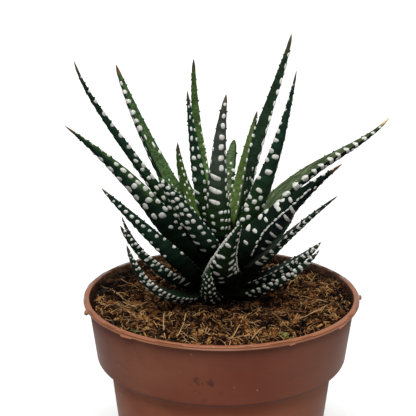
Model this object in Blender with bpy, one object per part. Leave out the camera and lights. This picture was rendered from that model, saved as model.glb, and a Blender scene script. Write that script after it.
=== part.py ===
"""Haworthia attenuata in a round plastic nursery pot.

The origin is the centre of the pot's base, +Z is up and -Y is the plant's front.
Sizes are in millimetres and are turned into metres where a mesh is made.
"""
import math
from dataclasses import dataclass

import bmesh
import bpy
import numpy as np

MM = 0.001
GAP = 0.3

# Pot
POT_HEIGHT = 100.0
RIM_RADIUS = 60.0
LIP_THICKNESS = 1.3
COLLAR_TOP_RADIUS = 57.8
COLLAR_BOTTOM_RADIUS = 54.8
COLLAR_HEIGHT = 28.4
COLLAR_EDGE_ROUND = 2.4
LIP_EDGE = 0.4
LIP_UNDERSIDE_DROP = 0.5
SHELF_CORNER = 1.5
BODY_TOP_RADIUS = 49.3
BASE_RADIUS = 41.6
BASE_EDGE_ROUND = 1.5
WALL = 1.2
BASE_THICKNESS = 2.0
ROUND_SIDES = 64
DRAIN_HOLES = 6
DRAIN_HOLE_RADIUS = 3.0
DRAIN_CIRCLE_RADIUS = 28.0
DRAIN_HOLE_SIDES = 12

# Soil
SOIL_EDGE_HEIGHT = 97.4
SOIL_CENTRE_HEIGHT = 97.7
SOIL_RINGS = 7
SOIL_LUMP = 0.55

# Crown, the short stem that the leaves grow from
PLANT_X = -1.0
PLANT_Y = 3.0
PLANT_BASE = 98.0
CROWN_RADIUS = 11.5
CROWN_HEIGHT = 38.0
CROWN_SIDES = 24
CROWN_RINGS = 8
CROWN_TOP_RADIUS = 0.5
STUB_RADIUS = 6.0
STUB_DEPTH = 12.0

# Leaves
ROOT_CLEARANCE = 0.9
ROOT_SLIDE_BACK = 3.0
ROOT_SLIDE_OUT = 4.0
LEAST_BANDS = 8
BANDED_SHARE = 0.95
TUBERCLE_LIFT = 0.45
TOOTH_SHARE = 0.6
FLANK_SHARE = 0.62
DISH_SHARE = 0.1
THIN_TIP_DISH = 0.25
WAIST_LOSS = 0.42
WAIST_LENGTH = 0.07
WIDEST_SHARE = 0.9
LEAST_HALF_WIDTH = 0.42
LAST_STATION = 0.985
FLICK_PEAK = 5 / 6
CURVE_SAMPLES = 400


@dataclass
class Leaf:
    """One leaf: its root on the crown, its tip, and the course between them.

    azimuth, reach, rise: where the tip is, in degrees round the plant's axis, in
    millimetres out from it and in millimetres above the crown's foot.
    root: the root's azimuth and its height above the crown's foot.
    bow: how far the leaf sags outward at mid length. sway: how far it leans sideways.
    width: full width at the widest. depth: keel depth as a share of the width.
    pitch: spacing of the tubercle bands. taper: how early the leaf narrows.
    roll: twist about its own length. turn: the shares of the length where the twist starts
    and ends. knee: where the course bends.
    flick: how far the leaf hangs below an even curve just before its tip.
    """
    azimuth: float
    reach: float
    rise: float
    root: tuple
    width: float
    pitch: float
    bow: float = 0.0
    sway: float = 0.0
    depth: float = 0.42
    roll: float = 0.0
    taper: float = 0.8
    knee: float = 0.5
    flick: float = 0.0
    turn: tuple = (0.0, 0.35)


LEAVES = [
    # Lowest ring, lying out over the soil
    Leaf(-97, 36, 24.5, (-100, 3.5), 9.5, 2.5, bow=3.5, sway=-1.0, depth=0.40),
    Leaf(-134, 53, 35, (-139, 3.5), 10.8, 2.6, bow=7.7, depth=0.42, roll=-9),
    Leaf(-29, 47, 28, (-45, 3.6), 9.8, 2.6, bow=2.9, roll=-6),
    Leaf(-8, 44, 26, (-8, 6.5), 10.4, 3.0, bow=1.4, depth=0.62),
    Leaf(-145, 49, 40, (-163, 6.8), 10.0, 3.0, bow=3.0, depth=0.54),
    Leaf(172, 43, 34, (176, 4.7), 6.0, 2.6, bow=5.4),
    Leaf(25, 40, 12, (22, 4.0), 9.5, 2.8, bow=2.0),
    Leaf(52, 46, 29, (50, 6.5), 9.5, 2.8, bow=3.0, depth=0.45),
    Leaf(82, 45, 27, (82, 4.0), 9.5, 2.8, bow=3.0),
    Leaf(112, 47, 30, (112, 6.5), 9.5, 2.8, bow=3.0, depth=0.45),
    Leaf(136, 37, 23, (142, 4.0), 9.5, 2.8, bow=3.0),
    # Second ring
    Leaf(-80, 46, 46, (-81.5, 10.5), 17.3, 4.0, bow=3.0, sway=-3.8, depth=0.34, taper=0.85),
    Leaf(-31, 55, 52.5, (-20, 10.8), 12.0, 3.0, bow=-1.2, roll=18, taper=1.1),
    Leaf(-148, 55.5, 55.8, (-133, 12.3), 13.4, 3.6, bow=-0.4, depth=0.58, roll=6, taper=0.92),
    Leaf(34, 42, 30, (30, 11.0), 10.5, 3.4, bow=2.0, taper=1.0),
    Leaf(66, 44, 43, (66, 14.0), 10.5, 3.4, bow=2.0, taper=1.0),
    Leaf(98, 46, 39, (99, 11.0), 10.5, 3.4, bow=2.0, taper=1.0),
    Leaf(128, 46, 46, (131, 13.4), 10.5, 3.4, bow=2.0, taper=1.0),
    Leaf(158, 25, 31, (156, 8.5), 8.0, 3.4, bow=1.0, taper=1.0),
    # Third ring, with the longest spreading leaves
    Leaf(-38, 60, 67.5, (-48, 18.0), 18.5, 4.6, bow=-2.0, depth=0.38, roll=-60, taper=1.22),
    Leaf(-156, 67, 80.6, (-175, 17.8), 24.0, 4.6, bow=-3.4, depth=0.36, roll=45, taper=1.27,
         knee=0.46, turn=(0.1, 0.8)),
    Leaf(16, 78.5, 75, (8, 23.0), 16.5, 4.6, bow=-7.2, depth=0.42, taper=0.97, knee=0.36, flick=3.0),
    Leaf(52, 36, 45, (46, 19.0), 11.5, 4.2, bow=1.0, depth=0.40, taper=1.0),
    Leaf(91, 34, 51, (88, 21.0), 11.5, 4.2, bow=1.0, depth=0.40, taper=1.0),
    Leaf(132, 36, 48, (130, 18.0), 11.5, 4.2, bow=1.0, depth=0.40, taper=1.0),
    Leaf(-131.5, 36.5, 59.8, (-109, 23.4), 15.6, 4.6, bow=-1.0, depth=0.36, taper=0.65),
    # Fourth ring, rising steeply
    Leaf(-158, 61.5, 105.5, (-176, 25.0), 9.0, 4.6, bow=1.9, roll=26, taper=0.9, flick=1.5),
    Leaf(-30, 35, 101, (-30, 26.6), 16.5, 4.6, bow=3.0, depth=0.36, roll=-18, taper=1.2),
    Leaf(149, 53, 97.6, (141, 26.0), 14.2, 4.6, bow=2.7, depth=0.38, taper=0.7, roll=10),
    Leaf(-82, 18, 91.5, (-85, 28.6), 11.0, 4.6, bow=2.0, sway=-2.6, depth=0.38),
    Leaf(40, 41.4, 111, (43, 28.5), 10.0, 4.6, bow=-1.1, depth=0.40, taper=0.7, flick=1.0),
    Leaf(75, 27, 64, (93, 26.5), 8.4, 4.2, taper=0.5),
    # Innermost leaves
    Leaf(23, 17.5, 80.4, (5, 34.0), 11.5, 4.4, bow=-0.6, depth=0.36, taper=0.75),
    Leaf(120, 22, 101, (110, 33.0), 7.0, 4.6, bow=5.0, taper=0.7),
    Leaf(145, 22, 65.5, (177, 32.3), 9.2, 3.6, bow=3.0),
    Leaf(-149, 15.5, 91.5, (-155, 34.0), 10.0, 4.4, bow=0.8, depth=0.36, roll=20, taper=0.95),
]


def clear_scene():
    for obj in list(bpy.data.objects):
        bpy.data.objects.remove(obj, do_unlink=True)


def plain_material(name, colour, roughness):
    material = bpy.data.materials.new(name)
    material.use_nodes = True
    shader = material.node_tree.nodes["Principled BSDF"]
    shader.inputs["Base Color"].default_value = (*colour, 1.0)
    shader.inputs["Roughness"].default_value = roughness
    shader.inputs["Metallic"].default_value = 0.0
    return material


def add_object(name, mesh, material, origin=(0.0, 0.0, 0.0), parent=None):
    """Add a mesh as an object whose place is its origin, in millimetres."""
    mesh.materials.append(material)
    obj = bpy.data.objects.new(name, mesh)
    bpy.context.scene.collection.objects.link(obj)
    obj.location = [value * MM for value in origin]
    obj.parent = parent
    return obj


def add_empty(name, origin, parent=None):
    empty = bpy.data.objects.new(name, None)
    empty.empty_display_size = 0.02
    bpy.context.scene.collection.objects.link(empty)
    empty.location = [value * MM for value in origin]
    empty.parent = parent
    return empty


def add_skin(build, rings):
    """Join rings of equal count by triangles and return their corners."""
    corners = [[build.verts.new([value * MM for value in point]) for point in ring] for ring in rings]
    for lower, upper in zip(corners, corners[1:]):
        count = len(lower)
        for i in range(count):
            j = (i + 1) % count
            build.faces.new((lower[i], lower[j], upper[j]))
            build.faces.new((lower[i], upper[j], upper[i]))
    return corners


def finish_mesh(name, build):
    bmesh.ops.recalc_face_normals(build, faces=build.faces)
    mesh = bpy.data.meshes.new(name)
    build.to_mesh(mesh)
    build.free()
    return mesh


def turned_mesh(name, rings):
    """A skin of rings with a flat disc at each end."""
    build = bmesh.new()
    corners = add_skin(build, rings)
    build.faces.new(corners[0])
    build.faces.new(corners[-1])
    return finish_mesh(name, build)


def leaf_mesh(name, rings, tip):
    """A skin of six-cornered rings with a fan at the root and a point at the tip."""
    build = bmesh.new()
    corners = add_skin(build, rings)
    for j in range(2, 6):
        build.faces.new((corners[0][1], corners[0][j], corners[0][(j + 1) % 6]))
    apex = build.verts.new([value * MM for value in tip])
    for i in range(6):
        build.faces.new((corners[-1][i], corners[-1][(i + 1) % 6], apex))
    return finish_mesh(name, build)


def arc(centre_radius, centre_height, size, start, end, steps):
    """Points of a quarter round in a turned profile, as radius and height."""
    angles = [math.radians(start + (end - start) * i / steps) for i in range(steps + 1)]
    return [(centre_radius + size * math.cos(a), centre_height + size * math.sin(a)) for a in angles]


def collar_bottom():
    return POT_HEIGHT - COLLAR_HEIGHT


def pot_profile():
    """Closed outline of the wall, down the outside and back up the inside."""
    step_height = collar_bottom()
    lip_bottom = POT_HEIGHT - LIP_THICKNESS
    inner_top = COLLAR_TOP_RADIUS - WALL
    inner_bottom = COLLAR_BOTTOM_RADIUS - WALL
    outer = [(inner_top, POT_HEIGHT), (RIM_RADIUS - LIP_EDGE, POT_HEIGHT)]
    outer += [(RIM_RADIUS, POT_HEIGHT - LIP_EDGE)]
    outer += [(RIM_RADIUS, lip_bottom), (COLLAR_TOP_RADIUS, lip_bottom - LIP_UNDERSIDE_DROP)]
    outer += arc(COLLAR_BOTTOM_RADIUS - COLLAR_EDGE_ROUND, step_height + COLLAR_EDGE_ROUND,
                 COLLAR_EDGE_ROUND, 0, -90, 4)
    outer += [(BODY_TOP_RADIUS, step_height)]
    outer += arc(BASE_RADIUS - BASE_EDGE_ROUND, BASE_EDGE_ROUND, BASE_EDGE_ROUND, 0, -90, 2)
    inner = [(BASE_RADIUS - WALL, BASE_THICKNESS), (BODY_TOP_RADIUS - WALL, step_height + WALL)]
    inner += [(inner_bottom - SHELF_CORNER, step_height + WALL)]
    inner += [(inner_bottom, step_height + WALL + SHELF_CORNER)]
    return outer, inner


def turned_rings(profile, sides):
    angles = [2 * math.pi * i / sides for i in range(sides)]
    return [[(r * math.cos(a), r * math.sin(a), z) for a in angles] for r, z in profile]


def drain_cutter():
    """Upright round pegs, one for each drain hole, joined in one cutter."""
    mesh = bpy.data.meshes.new("drain_cutter")
    build = bmesh.new()
    for i in range(DRAIN_HOLES):
        angle = 2 * math.pi * i / DRAIN_HOLES
        made = bmesh.ops.create_cone(build, cap_ends=True, segments=DRAIN_HOLE_SIDES,
                                     radius1=DRAIN_HOLE_RADIUS * MM, radius2=DRAIN_HOLE_RADIUS * MM,
                                     depth=4 * BASE_THICKNESS * MM)
        shift = (DRAIN_CIRCLE_RADIUS * math.cos(angle) * MM, DRAIN_CIRCLE_RADIUS * math.sin(angle) * MM, 0.0)
        bmesh.ops.translate(build, verts=made["verts"], vec=shift)
    build.to_mesh(mesh)
    build.free()
    cutter = bpy.data.objects.new("drain_cutter", mesh)
    bpy.context.scene.collection.objects.link(cutter)
    cutter.hide_render = True
    cutter.display_type = "WIRE"
    return cutter


def make_pot(parent):
    """The wall is one turned skin: down the outside, across the base and up the inside."""
    outer, inner = pot_profile()
    build = bmesh.new()
    outside = add_skin(build, turned_rings(outer, ROUND_SIDES))
    inside = add_skin(build, turned_rings(inner, ROUND_SIDES))
    for i in range(ROUND_SIDES):
        j = (i + 1) % ROUND_SIDES
        build.faces.new((inside[-1][i], inside[-1][j], outside[0][j], outside[0][i]))
    build.faces.new(outside[-1])
    build.faces.new(inside[0])
    mesh = finish_mesh("pot", build)
    pot = add_object("pot", mesh, plain_material("pot_plastic", (0.21, 0.075, 0.045), 0.42), parent=parent)
    cut = pot.modifiers.new("drain_holes", "BOOLEAN")
    cut.object = drain_cutter()
    cut.operation = "DIFFERENCE"
    return pot


def inner_wall_radius(height):
    """The pot's inside radius less the gap that the soil keeps to it."""
    _, inner = pot_profile()
    points = inner + [(COLLAR_TOP_RADIUS - WALL, POT_HEIGHT)]
    heights = [z for _, z in points]
    radii = [r for r, _ in points]
    return float(np.interp(height, heights, radii)) - GAP


def soil_height(x, y, share):
    """Height of the soil's top: a low mound with lumps, level beside the stem."""
    mound = SOIL_CENTRE_HEIGHT + (SOIL_EDGE_HEIGHT - SOIL_CENTRE_HEIGHT) * share
    lumps = math.sin(0.31 * x + 1.3) * math.cos(0.27 * y - 0.4) + 0.6 * math.sin(0.53 * x - 0.61 * y)
    return mound + SOIL_LUMP * lumps * min(1.0, 2.0 * share) - SOIL_LUMP * min(1.0, 2.0 * share)


def soil_rings():
    """From the floor up the pot's inside, over the top to the stem's hole, and down it."""
    shelf = collar_bottom() + WALL + GAP
    inner_bottom = COLLAR_BOTTOM_RADIUS - WALL - GAP
    sides = [(inner_wall_radius(BASE_THICKNESS), BASE_THICKNESS + GAP),
             (BODY_TOP_RADIUS - WALL - GAP, shelf), (inner_bottom - SHELF_CORNER, shelf),
             (inner_bottom, shelf + SHELF_CORNER)]
    rings = turned_rings(sides, ROUND_SIDES)
    angles = [2 * math.pi * i / ROUND_SIDES for i in range(ROUND_SIDES)]
    hole_radius = STUB_RADIUS + GAP
    edge_radius = inner_wall_radius(SOIL_EDGE_HEIGHT - 2 * SOIL_LUMP)
    for k in range(SOIL_RINGS + 1):
        share = 1.0 - k / SOIL_RINGS
        radius = hole_radius + (edge_radius - hole_radius) * share
        ring = []
        for a in angles:
            x = PLANT_X * (1 - share) + radius * math.cos(a)
            y = PLANT_Y * (1 - share) + radius * math.sin(a)
            ring.append((x, y, soil_height(x, y, share)))
        rings.append(ring)
    hole_floor = PLANT_BASE - STUB_DEPTH - GAP
    rings.append([(x, y, hole_floor) for x, y, _ in rings[-1]])
    return rings


def make_soil(parent):
    mesh = turned_mesh("soil", soil_rings())
    return add_object("soil", mesh, plain_material("coir", (0.16, 0.075, 0.03), 0.95), parent=parent)


def make_crown(parent):
    """A dome on a short root stub. Its heights are above the plant's base."""
    profile = [(STUB_RADIUS, -STUB_DEPTH), (STUB_RADIUS, 0.0)]
    for k in range(CROWN_RINGS):
        angle = 0.5 * math.pi * k / CROWN_RINGS
        profile.append((CROWN_RADIUS * math.cos(angle), CROWN_HEIGHT * math.sin(angle)))
    profile.append((CROWN_TOP_RADIUS, CROWN_HEIGHT))
    mesh = turned_mesh("crown", turned_rings(profile, CROWN_SIDES))
    return add_object("crown", mesh, plain_material("stem_green", (0.03, 0.05, 0.025), 0.6), parent=parent)


def crown_point(azimuth, height):
    """A point just off the crown's surface, from the plant's base."""
    share = min(height / CROWN_HEIGHT, 1.0)
    radius = CROWN_RADIUS * math.sqrt(1.0 - share * share) + GAP
    angle = math.radians(azimuth)
    return np.array([radius * math.cos(angle), radius * math.sin(angle), height])


def unit(vector):
    return vector / np.linalg.norm(vector)


def leaf_course(leaf):
    """Points along the leaf's middle line, from the plant's base, and its sideways direction."""
    angle = math.radians(leaf.azimuth)
    outward = np.array([math.cos(angle), math.sin(angle), 0.0])
    side = np.array([-math.sin(angle), math.cos(angle), 0.0])
    root = crown_point(*leaf.root)
    tip = outward * leaf.reach + np.array([0.0, 0.0, leaf.rise])
    chord = tip - root
    under = unit(np.cross(side, chord))
    if under @ outward < 0:
        under = -under
    bend = root + leaf.knee * chord + 2 * leaf.bow * under + 2 * leaf.sway * side
    t = np.linspace(0.0, 1.0, CURVE_SAMPLES)[:, None]
    course = (1 - t) ** 2 * root + 2 * t * (1 - t) * bend + t ** 2 * tip
    flick_shape = (t / FLICK_PEAK) ** 5 * (1 - t) / (1 - FLICK_PEAK)
    return course + leaf.flick * flick_shape * under, side


def leaf_half_width(leaf, share):
    """Half width at a share of the length: waisted at the root and pointed at the tip."""
    waist = 1.0 - WAIST_LOSS * math.exp(-share / WAIST_LENGTH)
    return max(0.5 * leaf.width * waist * (1.0 - share) ** leaf.taper / WIDEST_SHARE, LEAST_HALF_WIDTH)


def leaf_section(leaf, share, raised):
    """Six corners: margin, upper face, margin, and three on the keeled underside."""
    half = leaf_half_width(leaf, share)
    keel = max(leaf.depth * 2 * half * (0.8 + 0.4 * share), LEAST_HALF_WIDTH)
    lift = TUBERCLE_LIFT * min(1.0, half / 2.0) if raised else 0.0
    dish = -DISH_SHARE * half * (1.0 - share) if half > 1.0 else THIN_TIP_DISH
    margin = half + TOOTH_SHARE * lift
    flank = FLANK_SHARE * half + 0.5 * lift
    flank_depth = FLANK_SHARE * keel + lift
    return [(margin, 0.0), (0.0, dish), (-margin, 0.0),
            (-flank, -flank_depth), (0.0, -keel - lift), (flank, -flank_depth)]


def seat_on_crown(point, direction):
    """Slide a root corner along the leaf until it stands just off the crown."""
    size = np.array([CROWN_RADIUS, CROWN_RADIUS, CROWN_HEIGHT]) + ROOT_CLEARANCE
    scaled_point = point / size
    scaled_direction = direction / size
    a = scaled_direction @ scaled_direction
    b = 2 * scaled_point @ scaled_direction
    c = scaled_point @ scaled_point - 1.0
    inside_root = b * b - 4 * a * c
    slide = (-b + math.sqrt(inside_root)) / (2 * a) if inside_root > 0 else -ROOT_SLIDE_BACK
    return point + direction * min(max(slide, -ROOT_SLIDE_BACK), ROOT_SLIDE_OUT)


def leaf_rings(leaf):
    """Cross-sections along the leaf. Every second one is raised into a band of tubercles."""
    course, side = leaf_course(leaf)
    steps = np.linalg.norm(np.diff(course, axis=0), axis=1)
    run = np.concatenate([[0.0], np.cumsum(steps)])
    headings = np.gradient(course, axis=0)
    bands = max(LEAST_BANDS, round(run[-1] * BANDED_SHARE / leaf.pitch))
    rings = []
    for i in range(2 * bands + 1):
        share = LAST_STATION * i / (2 * bands)
        centre = np.array([np.interp(share * run[-1], run, course[:, k]) for k in range(3)])
        heading = unit(np.array([np.interp(share * run[-1], run, headings[:, k]) for k in range(3)]))
        across = unit(side - (side @ heading) * heading)
        upper = np.cross(heading, across)
        turn_start, turn_end = leaf.turn
        turned = min(max((share - turn_start) / (turn_end - turn_start), 0.0), 1.0)
        roll = math.radians(leaf.roll) * turned
        across, upper = (math.cos(roll) * across + math.sin(roll) * upper,
                         math.cos(roll) * upper - math.sin(roll) * across)
        ring = [centre + u * across + v * upper for u, v in leaf_section(leaf, share, i % 2 == 1)]
        if i == 0:
            ring = [seat_on_crown(point, heading) for point in ring]
        rings.append(ring)
    return rings, course[0], course[-1]


def make_leaf(number, leaf, parent):
    rings, root, tip = leaf_rings(leaf)
    local = [[point - root for point in ring] for ring in rings]
    name = f"leaf_{number:02d}"
    mesh = leaf_mesh(name, local, tip - root)
    tone = 0.75 + 0.5 * leaf.root[1] / CROWN_HEIGHT
    green = (0.035 * tone, 0.085 * tone, 0.035 * tone)
    return add_object(name, mesh, plain_material(name + "_green", green, 0.45), root, parent)


def main():
    clear_scene()
    whole = add_empty("potted_haworthia", (0.0, 0.0, 0.0))
    make_pot(whole)
    make_soil(whole)
    plant = add_empty("plant", (PLANT_X, PLANT_Y, PLANT_BASE), whole)
    make_crown(plant)
    for number, leaf in enumerate(LEAVES, start=1):
        make_leaf(number, leaf, plant)


main()
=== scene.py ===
"""Looks of the potted haworthia attenuata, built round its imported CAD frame.

Lengths are in millimetres until a mesh is made, heights of leaves are above the
plant's base, and the camera stands on the -Y side.
"""

import math
import random
from dataclasses import dataclass, replace

import bpy
import numpy as np
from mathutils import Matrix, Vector, noise


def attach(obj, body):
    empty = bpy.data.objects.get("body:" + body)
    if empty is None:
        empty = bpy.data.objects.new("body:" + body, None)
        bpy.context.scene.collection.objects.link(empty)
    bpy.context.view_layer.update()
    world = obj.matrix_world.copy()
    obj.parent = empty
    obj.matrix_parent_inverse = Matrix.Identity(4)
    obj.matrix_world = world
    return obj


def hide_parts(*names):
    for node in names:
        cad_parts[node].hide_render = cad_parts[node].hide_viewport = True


MM = 0.001

# Pot, as in the CAD part
POT_HEIGHT = 100.0
RIM_RADIUS = 60.0
LIP_THICKNESS = 1.3
COLLAR_TOP_RADIUS = 57.8
COLLAR_BOTTOM_RADIUS = 54.8
COLLAR_BOTTOM = 71.6
COLLAR_EDGE_ROUND = 2.4
BODY_TOP_RADIUS = 49.3
BASE_RADIUS = 41.6
BASE_EDGE_ROUND = 1.5
WALL = 1.2
BASE_THICKNESS = 2.0
POT_SIDES = 256
DRAIN_HOLES = 6
DRAIN_HOLE_RADIUS = 3.0
DRAIN_CIRCLE_RADIUS = 28.0

# Soil, as in the CAD part
SOIL_EDGE_HEIGHT = 97.4
SOIL_CENTRE_HEIGHT = 97.7
SOIL_LUMP = 0.55
SOIL_RADIUS = 56.2
SOIL_HOLE_RADIUS = 6.3

# Fineness of the soil's skin and how much litter lies on it
SOIL_GRID = 190
SKIRT_DEPTH = 4.0
CHIPS = 9500
BARK_CHIP_EVERY = 160
CRUMBS = 3200
FIBRES = 1500
LONG_FIBRE_EVERY = 25
FIBRE_POINTS = 7
STRAW_POINTS = 12
STRAND_RADII = (0.16, 0.11)

# Dark spots of the soil beside the wall, painted shade in its hollows: place, radius and strength
SHADED_HOLLOWS = ((-52.0, 8.0, 12.0, 1.3), (-44.0, 27.0, 16.0, 0.8))

# Long straws on the soil: places of both ends and sideways bend
STRAWS = (((-55, 12), (-40, -2), 0.4), ((-48, 6), (-36, -15), -0.8), ((-43, -12), (-34, -31), 0.8),
          ((-54, -8), (-41, -12), 0.9), ((-47, -20), (-38, -7), -0.7), ((-36, -26), (-45, -9), 0.5),
          ((-29, -15), (-43, -8), 0.9), ((-24, -19), (-22, -51), -2.2), ((9, -23), (3, -49), 1.6),
          ((17, -36), (10, -50), -1.0), ((-52, 2), (-42, 14), 0.6), ((30, -30), (42, -18), 1.1),
          ((46, -8), (34, -1), 0.8), ((-12, -38), (-2, -46), 0.9), ((20, -22), (32, -38), -1.3),
          ((40, 14), (50, 6), 0.7), ((-15, -21), (-18, -47), 1.6), ((-46, 20), (-38, 12), 0.5))

# Tufts of moss: place and radius
MOSS = ((24, -44, 2.6), (-35, -39, 1.8), (38, 44, 2.6), (-30, 45, 2.0))

# Finer forms of the pot
LIP_INNER_RADIUS = 57.4
LIP_INNER_ROUND = 0.45
LIP_ROUND = 0.35
UNDER_LIP_ROUND = 0.5
STEP_ROUND = 0.6
GROOVE_RADIUS = 59.5
GROOVE_CLOSING = 0.36
DRAIN_SIDES = 32

# Flash slivers under the lip, by turn in degrees, length and drop, and moulding nubs by turn
SLIVERS = ((-129.5, 6.0, 0.75), (-63.5, 2.6, 0.45), (-36.0, 6.0, 0.85))
SLIVER_STATIONS = 15
NUBS = (-160.0, -2.5)

# Screen colours of the pot's plastic and of its flash, from dark to light clouds
PLASTIC_TINTS = ((122, 62, 41), (138, 75, 51), (158, 98, 72))
FLASH_TINTS = ((196, 104, 66), (214, 124, 82), (226, 142, 100))
PLASTIC_SHEEN = 0.38
PLASTIC_SPECULAR = 0.6

# Crown and leaves, as in the CAD part
PLANT = np.array([-1.0, 3.0, 98.0])
CROWN_RADIUS = 11.5
CROWN_HEIGHT = 38.0
GAP = 0.3
LEAST_BANDS = 8
BANDED_SHARE = 0.95
WAIST_LOSS = 0.42
WAIST_LENGTH = 0.07
WIDEST_SHARE = 0.9
DISH_SHARE = 0.1
LAST_BAND_SHARE = 0.985
FLICK_PEAK = 5 / 6
CURVE_SAMPLES = 400

# Where the finer leaves differ from the CAD part: how they stand in the crown, thinner
# tips and edges, and lower ridges
ROOT_SINK = -0.8
ROOT_SLIDE_BACK = -4.0
ROOT_SLIDE_OUT = 3.0
TIP_HALF_WIDTH = 0.13
TIP_FULLNESS = 0.42
EDGE_HALF_THICKNESS = 0.32
RIDGE_LIFT = 0.24
SKIN_END_SHARE = 0.992

# How tubercles and colours lie on the leaves: the half width below which tubercles get
# smaller, the blend at the margins in degrees and along the length, and painted shade at the middle
NARROW_HALF_WIDTH = 2.2
FACING_BLEND = 14.0
START_BLEND = 0.12
PAINTED_SHADE_CENTRE = np.array([2.0, -4.0, 8.0])
PAINTED_SHADE_SIZE = np.array([36.0, 36.0, 31.0])

# Fineness of the leaf skins
STATION_STEP = 0.75
LEAF_SIDES = 32
DOME_SEGMENTS = 12
DOME_RINGS = (0.0, 0.38, 0.66, 0.86, 1.03)
TOOTH_SEGMENTS = 6
TOOTH_RINGS = (0.0, 0.65, 1.03)
TOOTH_HALF_WIDTH = 0.34
LAST_TOOTH_SHARE = 0.93

# Camera, at the photograph's viewing point
CAMERA_PLACE = (-5.8, -400.0, 250.0)
CAMERA_PITCH = 15.62
CAMERA_LENS = 84.15
CAMERA_SENSOR = 36.0

# Floor, in millimetres, and the lamp
FLOOR_HALF_SIZE = 9000.0
SUN_DIRECTION = (0.02, 0.45, -1.0)
SUN_SPREAD = 45.0
SUN_POWER = 2.9


@dataclass
class Leaf:
    """One leaf's course and section, with the same fields as in the CAD part."""
    azimuth: float
    reach: float
    rise: float
    root: tuple
    width: float
    pitch: float
    bow: float = 0.0
    sway: float = 0.0
    depth: float = 0.42
    roll: float = 0.0
    taper: float = 0.8
    knee: float = 0.5
    flick: float = 0.0
    turn: tuple = (0.0, 0.35)


@dataclass
class Row:
    """Tubercles in a row along a leaf.

    angles: where round the section the row starts and ends, in degrees, counted as in
    LeafSurface. span: the shares of the length where it starts and ends.
    pitch: spacing. across, along: half sizes of a tubercle. skew: its slant in degrees.
    """
    angles: tuple
    span: tuple
    pitch: float
    across: float
    along: float
    skew: float = 0.0


@dataclass
class Coat:
    """How one leaf is coloured and marked.

    upper: colour of the upper face. under: colour of the underside, foot: near the root.
    side: another colour for the underside between the keel and the margin at angle 0, used
    for painted shade with a bluish painted reflection on that flank.
    tip: colour of the dry tip, over tip_length millimetres.
    rows: its tubercles. wrap: how far the upper face's colour reaches over the two
    margins, in degrees round the section. start: share of the length where it begins.
    cross: strength of the dark cross veins of the upper face. fleck: of its pale streaks.
    """
    upper: str = "deep"
    under: str = "dark"
    foot: str = "dark"
    side: str = ""
    tip: str = "olive"
    tip_length: float = 5.0
    rows: tuple = ()
    wrap: tuple = (0.0, 0.0)
    start: float = -1.0
    cross: float = 0.4
    fleck: float = 0.0


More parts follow.
